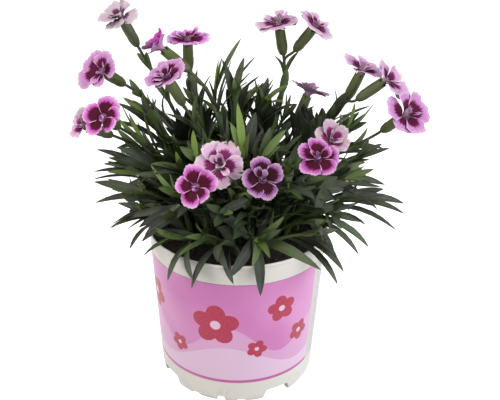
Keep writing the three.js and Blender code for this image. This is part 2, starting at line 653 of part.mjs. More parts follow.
// ---- Leaves: narrow keeled blades in pairs ----------------------------------------------
// A blade runs on a curve from its root to its point, arching to its upper side. The upper
// side faces the way the shoot grows.
function bladeRings(stations, root, point, grows, width, extra) {
  const chord = point.clone().sub(root);
  const length = chord.length();
  const upper = squareTo(grows, chord.normalize());
  const bend = root.clone().lerp(point, BOW_MIDDLE).addScaledVector(upper, 2 * BOW * length);
  const curve = new THREE.QuadraticBezierCurve3(root, bend, point.clone().addScaledVector(chord, extra));
  const rings = stations.map(([share, wide]) => {
    const middle = curve.getPoint(share);
    const tangent = curve.getTangent(share);
    const lift = squareTo(upper, tangent);
    const across = tangent.clone().cross(lift);
    const half = (width * wide) / 2 + extra;
    return [
      middle.clone().addScaledVector(across, -half).addScaledVector(lift, extra),
      middle.clone().addScaledVector(across, half).addScaledVector(lift, extra),
      middle.clone().addScaledVector(lift, -KEEL * Math.sqrt(wide) - extra),
    ];
  });
  return [...rings, [curve.getPoint(1)]];
}

// The place of a blade's point after moving aside.
function movedPoint(root, point, grows, [aside, upwards], share) {
  const chord = point.clone().sub(root);
  const length = chord.length();
  const direction = chord.clone().normalize();
  const upper = squareTo(grows, direction);
  const across = direction.clone().cross(upper);
  return root.clone()
    .addScaledVector(direction, length * share)
    .addScaledVector(across, aside * length * share)
    .addScaledVector(upper, upwards * length * share);
}

// ---- Assembly ----------------------------------------------------------------------------
const pot = makePot();
const label = makeLabel();
let soil = makeSoil();

// Each stem: its name, curve and path, the solids fused in it, the blades grown so far among
// them, and what is to grow.
const stems = [];

function calyxAt([at, faces]) {
  const facing = vector(faces).normalize();
  return { facing, foot: vector(at).addScaledVector(facing, -CALYX_LENGTH) };
}

const feet = sharePlaces([
  ...FLOWERING_STEMS.map(({ flowers }) => calyxAt(flowers[0]).foot.setZ(0).multiplyScalar(STEM_FOOT_SHARE)),
  ...LEAFY_SHOOTS.map(({ tip }) => vector(tip).setZ(0).multiplyScalar(SHOOT_FOOT_SHARE)),
]);

FLOWERING_STEMS.forEach(({ flowers, fork, bracts }, number) => {
  const [main, second] = flowers.map(calyxAt);
  const start = feet[number].clone().setZ(SOIL_TOP + ABOVE_SOIL);
  const curve = flowerCurve(start, UP, main.foot, main.facing);
  const path = rootedPath(curve, FLOWER_STEM_RADII.length - 2);
  const solids = [stemSolid(path, FLOWER_STEM_RADII), calyxSolid(main.foot, main.facing)];
  if (second) {
    const branch = flowerCurve(curve.getPoint(fork), curve.getTangent(fork), second.foot, second.facing);
    solids.push(stemSolid(branch.getPoints(BRANCH_RADII.length - 1), BRANCH_RADII));
    solids.push(calyxSolid(second.foot, second.facing));
  }
  const name = numbered('flower_stem', number);
  stems.push({ name, curve, path, solids, grown: [], given: [], bracts, pairs: 1 });
});

LEAFY_SHOOTS.forEach(({ tip, pairs, blades }, number) => {
  const curve = shootCurve(feet[FLOWERING_STEMS.length + number], vector(tip));
  const path = rootedPath(curve, SHOOT_RADII.length - 2);
  const solids = [stemSolid(path, SHOOT_RADII)];
  const name = numbered('leafy_shoot', number);
  stems.push({ name, curve, path, solids, grown: [], given: blades, bracts: [], pairs });
});

for (const { path } of stems) {
  const hole = [path[0].clone().addScaledVector(UP, -GAP), path[1].clone().addScaledVector(UP, ABOVE_SOIL)];
  soil = soil.subtract(stemSolid(hole, [SHOOT_RADII[0] + HOLE_GAP, SHOOT_RADII[0] + HOLE_GAP]));
}

const corollas = FLOWERING_STEMS.flatMap(({ flowers }) => flowers).map((flower, k) => ({
  name: numbered('flower', k),
  solid: corollaSolid(flower, k),
}));

const standing = [pot, label, soil, ...corollas.map(({ solid }) => solid)];

// Grows a blade on a stem where there is room for it, clear of its own shoot too if it can be.
// Its root is sunk in its own side of the stem.
function grow(stem, stations, share, point, width) {
  const grows = stem.curve.getTangent(share);
  const root = stem.curve.getPoint(share);
  root.addScaledVector(squareTo(point.clone().sub(root), grows), ROOT_ASIDE);
  const others = stems.filter((other) => other !== stem).flatMap(({ solids }) => solids);
  const obstacles = [...standing, ...others];
  for (const own of [stem.grown, []]) {
    for (const shorter of SHORTER) {
      for (const shift of SHIFTS) {
        const end = movedPoint(root, point, grows, shift, shorter);
        const blade = (extra) => bladeRings(stations, root, end, grows, width, extra);
        const roomy = toSolid(skin(blade(BLADE_CLEARANCE)));
        const outer = toSolid(skin(blade(0).slice(1)));
        if (obstacles.some((other) => crosses(roomy, other))) continue;
        if (own.some((other) => crosses(outer, other))) continue;
        const solid = toSolid(skin(blade(0)));
        stem.solids.push(solid);
        stem.grown.push(solid);
        return;
      }
    }
  }
}

for (const stem of stems) {
  for (const [share, ...point] of stem.given) {
    const width = Math.abs(point[0]) > SIDE_FROM ? SIDE_BLADE_WIDTH : BLADE_WIDTH;
    grow(stem, BLADE_STATIONS, share, vector(point), width);
  }
}

// The two blades of a pair, one on each side of the stem.
function growPair(stem, stations, number, pair, share, spread, length, width) {
  const root = stem.curve.getPoint(share);
  const grows = stem.curve.getTangent(share);
  const [side, across] = frameAcross(grows);
  const start = radians(PAIR_TURN * pair + 360 * chance(number, 0, DRAW_PAIR_TURN));
  for (let half = 0; half < 2; half += 1) {
    const turn = start + Math.PI * half + UNEVEN_TURN * (chance(number, pair, DRAW_BLADE_TURN + half) - 0.5);
    const outwards = side.clone().multiplyScalar(Math.cos(turn)).addScaledVector(across, Math.sin(turn));
    const wider = UNEVEN_SPREAD * (chance(number, pair, DRAW_BLADE_SPREAD + half) - 0.5);
    const longer = UNEVEN_LENGTH * (chance(number, pair, DRAW_BLADE_LENGTH + half) - 0.5);
    const angle = radians(spread * (1 + wider));
    const reach = length * (1 + longer);
    const point = root.clone()
      .addScaledVector(grows, reach * Math.cos(angle))
      .addScaledVector(outwards, reach * Math.sin(angle));
    grow(stem, stations, share, point, width);
  }
}

stems.forEach((stem, number) => {
  for (const [k, share] of stem.bracts.entries()) {
    growPair(stem, BRACT_STATIONS, number, BRACT_DRAWS + k, share, BRACT_SPREAD, BRACT_LENGTHS[k], YOUNG_WIDTH);
  }
  for (let pair = 0; pair < stem.pairs; pair += 1) {
    const high = stem.pairs > 1 ? pair / (stem.pairs - 1) : 0;
    const share = stem.bracts.length ? STEM_PAIR_SHARE : between(PAIR_SHARES, high);
    const length = between([BLADE_LENGTH, YOUNG_LENGTH], high);
    const width = between([BLADE_WIDTH, YOUNG_WIDTH], high);
    growPair(stem, BLADE_STATIONS, number, pair, share, between(PAIR_SPREADS, high), length, width);
  }
});

place('pot', pot, POT_FINISH);
place('label_band', label, LABEL_FINISH);
place('soil', fused([soil]), PEAT_FINISH);
for (const { name, solids, bracts } of stems) {
  place(name, fused(solids), bracts.length ? STEM_FINISH : LEAF_FINISH);
}
for (const { name, solid } of corollas) place(name, solid, PETAL_FINISH);

export default plant;
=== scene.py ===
import math

import bmesh
import bpy
import numpy as np
from mathutils import Matrix, Vector


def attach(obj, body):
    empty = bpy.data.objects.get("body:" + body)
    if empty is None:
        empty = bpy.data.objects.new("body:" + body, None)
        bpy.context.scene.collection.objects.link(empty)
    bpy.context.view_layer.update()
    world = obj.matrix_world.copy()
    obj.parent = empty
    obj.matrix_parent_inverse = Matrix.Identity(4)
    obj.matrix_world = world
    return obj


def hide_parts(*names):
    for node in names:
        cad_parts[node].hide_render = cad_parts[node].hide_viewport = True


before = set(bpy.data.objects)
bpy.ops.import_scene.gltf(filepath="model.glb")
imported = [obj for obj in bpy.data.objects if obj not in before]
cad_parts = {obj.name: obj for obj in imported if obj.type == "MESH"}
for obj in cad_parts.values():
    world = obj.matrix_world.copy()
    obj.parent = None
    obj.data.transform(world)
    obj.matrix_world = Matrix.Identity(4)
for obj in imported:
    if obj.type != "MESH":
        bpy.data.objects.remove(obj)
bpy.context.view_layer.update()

# ---- Studio -------------------------------------------------------------------------
# A garden pink in flower, standing in its nursery pot on a plain pale floor, in soft light
# from both sides, overhead and low in front, with a pale room all round.
CAMERA_PLACE = (0, -0.49287, 0.36532)
CAMERA_FACING = (0.01438, 0.89999, -0.43567)
CAMERA_ROLL = 0.015
CAMERA_LENS = 58.8  # millimetres, on a sensor 36 mm wide
TUFT_MIDDLE = (0, 0, 0.13)
ROOM_STRENGTH = 0.52
FLOOR_HALF = 4.0
PANEL_RADIUS = 0.05
PANEL_FADE = 0.006  # how far past its radius the panel's light fades out


def linear(colour):
    """The linear red, green, blue and alpha of a six-figure sRGB colour such as "c06fb4"."""
    shares = np.array([int(colour[k:k + 2], 16) for k in (0, 2, 4)]) / 255
    low = shares / 12.92
    high = ((shares + 0.055) / 1.055) ** 2.4
    return (*np.where(shares <= 0.04045, low, high).tolist(), 1.0)


def add(tree, kind, *inputs, **settings):
    """Adds a shader node; a kind in capitals is a maths node of that operation. Inputs fill
    its sockets in order, and settings are its own properties or sockets by name: a node or an
    output is linked, and a value is set."""
    if kind.isupper():
        kind, settings = "Math", {"operation": kind, **settings}
    node = tree.nodes.new("ShaderNode" + kind)
    sockets = [(node.inputs[k], value) for k, value in enumerate(inputs) if value is not None]
    for key, value in settings.items():
        if hasattr(node, key):
            setattr(node, key, value)
        else:
            sockets.append((node.inputs[key.replace("_", " ")], value))
    for socket, value in sockets:
        if isinstance(value, bpy.types.Node):
            tree.links.new(value.outputs[0], socket)
        elif isinstance(value, bpy.types.NodeSocket):
            tree.links.new(value, socket)
        else:
            socket.default_value = value
    return node


def new_finish(name):
    """An empty material of that name, and its node tree."""
    material = bpy.data.materials.new(name)
    material.use_nodes = True
    material.node_tree.nodes.clear()
    return material, material.node_tree


def placed(name, data):
    """A new object in the scene, made of that data."""
    made = bpy.data.objects.new(name, data)
    bpy.context.collection.objects.link(made)
    return made


camera_lens = bpy.data.cameras.new("studio_camera")
camera_lens.lens = CAMERA_LENS
camera_lens.sensor_width = 36
camera = placed("studio_camera", camera_lens)
camera.location = CAMERA_PLACE
camera_aim = Vector(CAMERA_FACING).to_track_quat("-Z", "Y").to_matrix()
camera.rotation_euler = (camera_aim @ Matrix.Rotation(CAMERA_ROLL, 3, "Z")).to_euler()
bpy.context.scene.camera = camera
bpy.context.scene.view_settings.view_transform = "Standard"

# Place, width in metres, watts and colour of each soft box; all face the tuft's middle.
SOFT_BOXES = {
    "left_light": ((-0.95, -0.45, 0.75), 0.8, 10.5, "fffaf4"),
    "right_light": ((1.0, -0.3, 0.6), 0.8, 9.0, "f6f9ff"),
    "top_light": ((-0.1, -0.25, 1.25), 0.7, 4.5, "ffffff"),
    "low_front_light": ((0.65, -1.2, 0.25), 0.9, 9.5, "fffdfa"),
}
for name, (place, width, watts, colour) in SOFT_BOXES.items():
    box = bpy.data.lights.new(name, "AREA")
    box.energy = watts
    box.size = width
    box.color = linear(colour)[:3]
    lamp = placed(name, box)
    lamp.location = place
    lamp.rotation_euler = (Vector(TUFT_MIDDLE) - Vector(place)).to_track_quat("-Z", "Y").to_euler()

# The room is brighter overhead than below, as under a studio's diffusing ceiling.
room = bpy.data.worlds.new("pale_room")
room.use_nodes = True
tree = room.node_tree
tree.nodes.clear()
overhead = add(tree, "SeparateXYZ", add(tree, "TexCoord").outputs["Generated"]).outputs["Z"]
ceiling = add(tree, "MapRange", overhead, -0.3, 0.6)
room_colour = add(tree, "MixRGB", ceiling, linear("808080"), linear("ededed"))
add(tree, "OutputWorld", add(tree, "Background", room_colour, ROOM_STRENGTH))
bpy.context.scene.world = room

floor_mesh = bpy.data.meshes.new("floor")
floor_corners = [(x * FLOOR_HALF, y * FLOOR_HALF, 0) for x, y in ((-1, -1), (1, -1), (1, 1), (-1, 1))]
floor_mesh.from_pydata(floor_corners, [], [(0, 1, 2, 3)])
floor = placed("floor", floor_mesh)
paper, tree = new_finish("lit_white_paper")
# A lit panel of the pot's size under its foot keeps the gaps in the foot as bright as the rest.
floor_place = add(tree, "TexCoord").outputs["Object"]
from_axis = add(tree, "VectorMath", floor_place, operation="LENGTH").outputs["Value"]
panel = add(tree, "MapRange", from_axis, PANEL_RADIUS, PANEL_RADIUS + PANEL_FADE, 1.0, 0.55)
paper_shader = add(tree, "BsdfPrincipled", Base_Color=linear("fbfbfb"), Roughness=0.9,
                   Emission_Color=linear("ffffff"), Emission_Strength=panel)
add(tree, "OutputMaterial", paper_shader)
floor_mesh.materials.append(paper)
floor.visible_diffuse = False

# ---- Pot ----------------------------------------------------------------------------
# A round nursery pot, injection moulded in white polypropylene: a tapered wall with a
# thickened lip, a floor with drain holes, and a skirt with arches that let water run out.
MM = 0.001
POT_HEIGHT = 110.5
POT_RIM_RADIUS = 60.2
POT_BASE_RADIUS = 53.6
POT_WALL = 2.4
FLOOR_UNDERSIDE = 8.2
FLOOR_TOP = 10.7
FOOT_RADIUS = 51.9
SKIRT_WIDTH = 2.7
HEEL_HEIGHT = 4.0
HEEL_ROWS_TOP = 9.0
PAD_RADIUS = 9.0
LABEL_BOTTOM = 16.8
LABEL_TOP = 96.2
LABEL_RECESS = 0.8
POT_COLUMNS = 360
DRAIN_HOLES = 6
DRAIN_RADIUS = 2.8
DRAIN_CIRCLE = 30
# The arch and the scallops of each quarter of the skirt: degrees from the arch's middle,
# width and height.
FIRST_ARCH_BEARING = -59
CUT_OUTS = [(0, 22, 7.6), (-42.5, 6.5, 4.5), (-27.5, 6.5, 2.7), (-62, 6.5, 2.6)]
# The lip's profile: how far it stands out from the rim, and how far it is below the top.
LIP = [(-0.3, 2.4), (0.2, 2), (0.4, 1.5), (0.4, 0.5), (0.25, 0.15), (0, 0), (-0.5, 0.05), (-0.9, 0.4),
       (-1.1, 1.1)]


def wall_radius(z):
    """Radius of the pot's tapered outside at a height."""
    return POT_BASE_RADIUS + (POT_RIM_RADIUS - POT_BASE_RADIUS) / POT_HEIGHT * z


def smooth(share):
    """A rise from 0 to 1 that starts and ends level."""
    return share * share * (3 - 2 * share)


def skirt_edge(turn):
    """Height of the skirt's lower edge at each angle: a soft trapezium for each cut-out, with
    its sides in the outer 15% of its width, and nought between them."""
    edge = np.zeros_like(turn)
    for quarter in range(4):
        for bearing, width, height in CUT_OUTS:
            middle = math.radians(FIRST_ARCH_BEARING + 90 * quarter + bearing)
            aside = np.angle(np.exp(1j * (turn - middle))) * FOOT_RADIUS
            rise = np.clip((width / 2 - np.abs(aside)) / (0.15 * width), 0, 1)
            edge = np.maximum(edge, height * smooth(rise))
    return edge


def heel_radius(z):
    """Radius of the outside down to the ground: the wall's slope, drawn in by a quarter
    circle over the heel."""
    drop = np.clip(1 - z / HEEL_HEIGHT, 0, 1)
    return wall_radius(z) - (POT_BASE_RADIUS - FOOT_RADIUS) * (1 - np.sqrt(1 - drop ** 2))


def polar(radius, turn, height):
    """Places by their radius, angle and height."""
    return np.stack(np.broadcast_arrays(radius * np.cos(turn), radius * np.sin(turn), height), -1)


def turned(rows, turn):
    """The grid of a turned surface: each row is a radius and a height, and either may have a
    value for each angle."""
    return np.array([polar(radius, turn, height) for radius, height in rows])


def sheet(across, along):
    """The layout of a grid from the places of its columns and of its rows."""
    return np.stack(np.meshgrid(across, along), -1)


def piece(name, parts, finishes, crease=40, weld=2e-6):
    """Makes an object of grids of corners. Each part is corners in millimetres, shaped
    (count, rows, columns, 3), their layout, a tone per corner, both of which may be given
    once for all, and the number of its finish. Coincident corners of a grid are joined, and
    faces face outwards."""
    corners, faces, textures, tones, slots = [], [], [], [], []
    first = 0
    for points, uv, tone, slot in parts:
        count, rows, columns = points.shape[:3]
        start = (np.arange(rows - 1)[:, None] * columns + np.arange(columns - 1)).ravel()
        quads = np.stack([start, start + 1, start + columns + 1, start + columns], -1)
        flat = points[0].reshape(-1, 3)
        a, b, c, d = (flat[quads[:, k]] - flat.mean(0) for k in range(4))
        volume = (np.cross(a, b) * c).sum() + (np.cross(a, c) * d).sum()
        if volume < 0:
            quads = quads[:, ::-1]
        offsets = first + np.arange(count)[:, None, None] * rows * columns
        faces.append((quads[None] + offsets).reshape(-1, 4))
        corners.append(points.reshape(-1, 3) * MM)
        textures.append(np.broadcast_to(uv, (count, rows, columns, 2)).reshape(-1, 2))
        tones.append(np.broadcast_to(tone, (count, rows, columns)).ravel())
        slots.append(np.full(count * len(quads), slot))
        first += count * rows * columns
    faces = np.concatenate(faces)
    mesh = bpy.data.meshes.new(name)
    mesh.from_pydata(np.concatenate(corners), [], faces)
    layer = mesh.uv_layers.new(name="Layout")
    layer.data.foreach_set("uv", np.concatenate(textures)[faces.ravel()].astype(np.float32).ravel())
    attribute = mesh.attributes.new("tone", "FLOAT", "POINT")
    attribute.data.foreach_set("value", np.concatenate(tones).astype(np.float32))
    mesh.polygons.foreach_set("material_index", np.concatenate(slots).astype(np.int32))
    shell = bmesh.new()
    shell.from_mesh(mesh)
    bmesh.ops.remove_doubles(shell, verts=shell.verts, dist=weld)
    shell.to_mesh(mesh)
    shell.free()
    mesh.polygons.foreach_set("use_smooth", np.ones(len(mesh.polygons), bool))
    mesh.set_sharp_from_angle(angle=math.radians(crease))
    for finish in finishes:
        mesh.materials.append(finish)
    return placed(name, mesh)


pot_turn = np.linspace(-math.pi, math.pi, POT_COLUMNS + 1)
pot_edge = skirt_edge(pot_turn)
skirt_inside = FOOT_RADIUS - SKIRT_WIDTH
pot_rows = [(0, 0), (PAD_RADIUS - 0.5, 0), (PAD_RADIUS, 0.5)]
pot_rows += [(radius, FLOOR_UNDERSIDE) for radius in (PAD_RADIUS, 28, 46, 46.1, skirt_inside - 1)]
pot_rows += [(skirt_inside, pot_edge), (skirt_inside + 0.3, pot_edge)]
for share in (0, 0.08, 0.2, 0.35, 0.5, 0.75, 1):
    heel = pot_edge + share * (HEEL_ROWS_TOP - pot_edge)
    pot_rows.append((heel_radius(heel), heel))
for z, inset in ((12, 0), (LABEL_BOTTOM - 0.2, 0), (LABEL_BOTTOM, 0.15), (LABEL_BOTTOM, LABEL_RECESS),
                 (40, LABEL_RECESS), (70, LABEL_RECESS), (LABEL_TOP, LABEL_RECESS), (LABEL_TOP, 0.15),
                 (LABEL_TOP + 0.2, 0), (102, 0)):
    pot_rows.append((wall_radius(z) - inset, z))
pot_rows += [(POT_RIM_RADIUS + out, POT_HEIGHT - down) for out, down in LIP]
pot_rows += [(wall_radius(z) - POT_WALL, z) for z in (104, 70, 30, 11.7)]
pot_rows += [(radius, FLOOR_TOP) for radius in (wall_radius(FLOOR_TOP) - POT_WALL - 1, 25, 0)]
pot_layout = sheet(np.linspace(0, 1, POT_COLUMNS + 1), np.linspace(0, 1, len(pot_rows)))

polypropylene, tree = new_finish("moulded_white_polypropylene")
# Glossy off-white plastic with the faint waviness of a thin moulding, and brownish blotches
# that grow stronger towards the foot.
place = add(tree, "TexCoord").outputs["Object"]
waviness = add(tree, "TexNoise", place, Scale=45, Detail=2)
grain = add(tree, "TexNoise", place, Scale=1400, Detail=3)
foot_blotch_noise = add(tree, "TexNoise", place, Scale=160, Detail=6, Roughness=0.7)
foot_blotches = add(tree, "MapRange", foot_blotch_noise, 0.52, 0.75, 0.0, 0.4)
height = add(tree, "SeparateXYZ", place).outputs["Z"]
near_foot = add(tree, "MapRange", height, 0.016, 0.002, 0.0, 1.0)
blotches_near_foot = add(tree, "MULTIPLY", foot_blotches, near_foot)
clean = add(tree, "MixRGB", waviness, linear("dfdcd6"), linear("d6d3cc"))
plastic_colour = add(tree, "MixRGB", blotches_near_foot, clean, linear("8d8272"))
ripple = add(tree, "Bump", Strength=0.25, Distance=0.002, Height=waviness)
skin = add(tree, "Bump", Strength=0.08, Distance=0.0002, Height=grain, Normal=ripple)
plastic = add(tree, "BsdfPrincipled", Base_Color=plastic_colour, Roughness=0.42, IOR=1.49, Normal=skin)
add(tree, "OutputMaterial", plastic)

pot = piece("pot_shell", [(turned(pot_rows, pot_turn)[None], pot_layout, 0.0, 0)], [polypropylene], crease=35)
drill = turned([(0, 6), (DRAIN_RADIUS, 6), (DRAIN_RADIUS, 13), (0, 13)], np.linspace(0, 2 * math.pi, 25))
holes = polar(DRAIN_CIRCLE, np.arange(DRAIN_HOLES) * 2 * math.pi / DRAIN_HOLES, 0)
drills = piece("drills", [(drill + holes[:, None, None], 0.0, 0.0, 0)], [polypropylene])
cut = pot.modifiers.new("drain_holes", "BOOLEAN")
cut.operation = "DIFFERENCE"
cut.object = drills
bpy.context.view_layer.update()
drilled = bpy.data.meshes.new_from_object(pot.evaluated_get(bpy.context.evaluated_depsgraph_get()))
pot.modifiers.clear()
pot.data = drilled
pot.data.name = "pot_shell"
bpy.data.objects.remove(drills)
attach(pot, "root")
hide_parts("pot")

# ---- Label --------------------------------------------------------------------------
# A printed film wrapped once round the wall, in the recess, with its two ends overlapped in
# a white strip at the side. The print is soft pink, with pale hills and crimson flowers.
LABEL_FILM = 0.5
LABEL_GAP = 0.3  # from the film to each end of the recess
LABEL_ROUND = 352.0
label_low, label_high = LABEL_BOTTOM + LABEL_GAP, LABEL_TOP - LABEL_GAP
# The film's section: how far it stands out from the wall, and the share of its height.
LABEL_SECTION = [(-LABEL_FILM, 0), (-0.12, 0), (0, 0.002), (0, 0.25), (0, 0.5), (0, 0.75), (0, 0.998),
                 (-0.12, 1), (-LABEL_FILM, 1), (-LABEL_FILM, 0)]
label_rows = []
for proud, share in LABEL_SECTION:
    z = label_low + share * (label_high - label_low)
    label_rows.append((wall_radius(z) + proud, z))
label_layout = sheet(np.linspace(0, 1, POT_COLUMNS + 1), [share for _, share in LABEL_SECTION])

# Pale hills, one behind the other: wavelength, phase, height, swing, colour and cover.
HILLS = [(71.0, 0.6, 34.0, 11.0, "dcb6d6", 0.55), (103.0, 2.9, 20.0, 9.0, "dfc3dc", 0.85)]
# Crimson five-petalled flowers: place along the band, height and size.
BLOSSOMS = [(74.0, 47.0, 15.5), (117.0, 57.0, 10.0), (101.0, 28.0, 7.0), (133.0, 33.0, 8.0),
            (46.0, 24.0, 7.0), (20.0, 52.0, 12.0), (205.0, 50.0, 15.0), (246.0, 36.0, 9.0),
            (296.0, 52.0, 13.0), (330.0, 30.0, 8.0)]
# The white strip: its middle along the band and half its width. Its ticks: how far aside of
# that middle they stand, half their reach to each side, and their spacing.
STRIP_ALONG = 153.5
STRIP_HALF = 6.8
TICK_ASIDE = 0.6
TICK_HALF = 1.9
TICK_SPACING = 2.4

film, tree = new_finish("printed_label_film")
# Offset print on semi-gloss film. Distances are in millimetres along the band and up it.
layout = add(tree, "SeparateXYZ", add(tree, "UVMap", uv_map="Layout")).outputs
along = add(tree, "MULTIPLY", layout[0], LABEL_ROUND)
up = add(tree, "MULTIPLY", layout[1], label_high - label_low)
clouds = add(tree, "TexNoise", add(tree, "TexCoord").outputs["Object"], Scale=22, Detail=1)
ground = add(tree, "MixRGB", add(tree, "MapRange", clouds, 0.35, 0.65), linear("d58fc4"), linear("c877b4"))
for wavelength, phase, base, swing, colour, cover in HILLS:
    bearing = add(tree, "MULTIPLY_ADD", along, 2 * math.pi / wavelength, phase)
    crest = add(tree, "MULTIPLY_ADD", add(tree, "SINE", bearing), swing, base)
    inside = add(tree, "MapRange", add(tree, "SUBTRACT", crest, up), -0.15, 0.15, 0.0, cover)
    ground = add(tree, "MixRGB", inside, ground, linear(colour))
# The crimson ink is mottled, as from a coarse stamp. A blossom's edge is a radius that swells
# five times round, and it has a pale eye.
stamp = add(tree, "TexNoise", add(tree, "CombineXYZ", along, up), Scale=0.9, Detail=4, Roughness=0.7)
crimson = add(tree, "MixRGB", add(tree, "MapRange", stamp, 0.42, 0.62), linear("980a32"), linear("b82a52"))
for x, y, size in BLOSSOMS:
    aside = add(tree, "SUBTRACT", along, x)
    above = add(tree, "SUBTRACT", up, y)
    spot = add(tree, "CombineXYZ", aside, above)
    reach = add(tree, "VectorMath", spot, operation="LENGTH").outputs["Value"]
    fifth = add(tree, "MULTIPLY_ADD", add(tree, "ARCTAN2", above, aside), 5.0, x)
    lobe = add(tree, "MULTIPLY_ADD", add(tree, "COSINE", fifth), 0.5, 0.5)
    lobe = add(tree, "POWER", add(tree, "MAXIMUM", lobe, 0.0), 0.45)
    swell = add(tree, "MULTIPLY_ADD", lobe, 0.32 * size, 0.68 * size)
    petal = add(tree, "MapRange", add(tree, "SUBTRACT", swell, reach), -0.15, 0.15)
    ground = add(tree, "MixRGB", petal, ground, crimson)
    eye = add(tree, "MapRange", reach, 0.24 * size, 0.2 * size)
    ground = add(tree, "MixRGB", eye, ground, linear("e3bfd9"))
# A deeper line along the foot of the print, and the white overlap strip with grey ticks.
foot_line = add(tree, "MapRange", up, 2.5, 2.2)
ground = add(tree, "MixRGB", foot_line, ground, linear("b9589a"))
strip_place = add(tree, "SUBTRACT", along, STRIP_ALONG)
strip = add(tree, "MapRange", add(tree, "ABSOLUTE", strip_place), STRIP_HALF + 0.1, STRIP_HALF - 0.1)
ground = add(tree, "MixRGB", strip, ground, linear("c4c1bd"))
slant = add(tree, "ADD", add(tree, "MULTIPLY_ADD", up, 0.5, strip_place), strip_place)
tick = add(tree, "GREATER_THAN", add(tree, "PINGPONG", slant, TICK_SPACING), 1.5)
from_tick = add(tree, "ABSOLUTE", add(tree, "SUBTRACT", strip_place, TICK_ASIDE))
tick_mark = add(tree, "MULTIPLY", tick, add(tree, "LESS_THAN", from_tick, TICK_HALF))
ground = add(tree, "MixRGB", add(tree, "MULTIPLY", tick_mark, 0.6), ground, linear("7b7f80"))
cockle = add(tree, "TexNoise", add(tree, "TexCoord").outputs["Object"], Scale=38, Detail=1)
cockling = add(tree, "Bump", Strength=0.2, Distance=0.0015, Height=cockle)
print_shader = add(tree, "BsdfPrincipled", Base_Color=ground, Roughness=0.38, IOR=1.5, Normal=cockling)
add(tree, "OutputMaterial", print_shader)

label = piece("label_film", [(turned(label_rows, pot_turn)[None], label_layout, 0.0, 0)], [film], crease=30)
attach(label, "root")
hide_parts("label_band")

# ---- Soil ---------------------------------------------------------------------------
# Moist dark peat, filled in loosely to just below the rim and settled, with crumbs and
# broken fibres lying on it.
SOIL_TOP = 105.5
SOIL_COLUMNS = 180
SOIL_RINGS = 48
CRUMBS = 900
CRUMB_CIRCLE = 58
LUMPS = ((5, 1), (2.3, 0.6), (1.1, 0.35))  # the size and the share of each kind


def rough_ground(x, y, size):
    """Smooth random heights from about -1 to 1 with lumps of that size: random values on a
    square lattice, blended between its corners by a smooth step."""
    lattice = np.random.default_rng(int(size * 100)).uniform(-1, 1, (128, 128))
    column, row = x / size + 64, y / size + 64
    left, low = np.floor(column).astype(int), np.floor(row).astype(int)
    across, high = smooth(column - left), smooth(row - low)
    bottom = lattice[low, left] * (1 - across) + lattice[low, left + 1] * across
    top = lattice[low + 1, left] * (1 - across) + lattice[low + 1, left + 1] * across
    return bottom * (1 - high) + top * high


def soil_height(x, y):
    """Height of the soil: slow swells, lumps of three sizes, and a rise to the brim."""
    swells = np.sin(x / 9 + 1) * np.cos(y / 9) + np.sin((x + 2 * y) / 9) / 2
    lumps = sum(share * rough_ground(x, y, size) for size, share in LUMPS)
    out = np.clip((np.hypot(x, y) - 30) / 25, 0, 1)
    return SOIL_TOP + 0.9 * swells * (1 - out) + 0.7 * lumps + 3.6 * out


soil_turn = np.linspace(0, 2 * math.pi, SOIL_COLUMNS + 1)
soil_rows = [(radius, soil_height(radius * np.cos(soil_turn), radius * np.sin(soil_turn)))
             for radius in np.linspace(0, POT_RIM_RADIUS - 1.3, SOIL_RINGS)]
soil_rows += [(wall_radius(z) - POT_WALL - gap, z) for z, gap in ((104, 0.3), (60, 0.3), (11, 1.4))]
soil_grid = turned([*soil_rows, (0, 11)], soil_turn)
soil_grid[:, -1] = soil_grid[:, 0]

crumb_rng = np.random.default_rng(5)
crumb_turn, crumb_tilt = np.meshgrid(np.linspace(0, 2 * math.pi, 7), np.linspace(0, math.pi, 5))
crumb = polar(np.sin(crumb_tilt), crumb_turn, np.cos(crumb_tilt))
crumb_size = crumb_rng.uniform(0.35, 1.5, CRUMBS)
crumb_reach = CRUMB_CIRCLE * np.sqrt(crumb_rng.uniform(0, 1, CRUMBS))
crumb_place = polar(crumb_reach, crumb_rng.uniform(0, 2 * math.pi, CRUMBS), 0.2 * crumb_size)
crumb_place[:, 2] += soil_height(crumb_place[:, 0], crumb_place[:, 1])
crumb_stretch = crumb_rng.uniform(0.5, 1.4, (CRUMBS, 1, 1, 3)) * crumb_size[:, None, None, None]
crumbs = crumb * crumb_stretch + crumb_place[:, None, None]

peat, tree = new_finish("moist_peat")
# Nearly black and matte, with brown fibres and a few lighter specks.
place = add(tree, "TexCoord").outputs["Object"]
fibre = add(tree, "TexNoise", place, Scale=420, Detail=6, Roughness=0.7, Distortion=1.5)
speck = add(tree, "TexVoronoi", place, Scale=330)
fibres = add(tree, "MixRGB", add(tree, "MapRange", fibre, 0.4, 0.7), linear("16120f"), linear("3a2c22"))
specks = add(tree, "MapRange", speck, 0.12, 0.06, 0.0, 0.45)
peat_colour = add(tree, "MixRGB", specks, fibres, linear("6a5844"))
crumbly = add(tree, "Bump", Strength=0.7, Distance=0.001, Height=fibre)
peat_shader = add(tree, "BsdfPrincipled", Base_Color=peat_colour, Roughness=0.92, Normal=crumbly)
add(tree, "OutputMaterial", peat_shader)

soil = piece("peat", [(soil_grid[None], 0.0, 0.0, 0), (crumbs, 0.0, 0.0, 0)], [peat], crease=70)
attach(soil, "root")
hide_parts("soil")

# ---- How the plant grows --------------------------------------------------------------
# Sixteen flowering stems and a crowd of leafy shoots rise from the soil. Leaves stand on
# them in pairs, each pair across the one below.
CALYX_LENGTH = 22.0
STEM_START = SOIL_TOP + 2.5
ROOTED = 10  # how deep a stem's foot stands below its start
STEM_RISE = 0.42  # share of a flowering stem's reach over which it rises straight
STEM_ARRIVAL = 0.3  # and over which it comes in line with its flower
LEAF_FREE_RADIUS = 48  # no leaf inside it hangs lower than the stems' feet
UP = np.array([0.0, 0.0, 1.0])

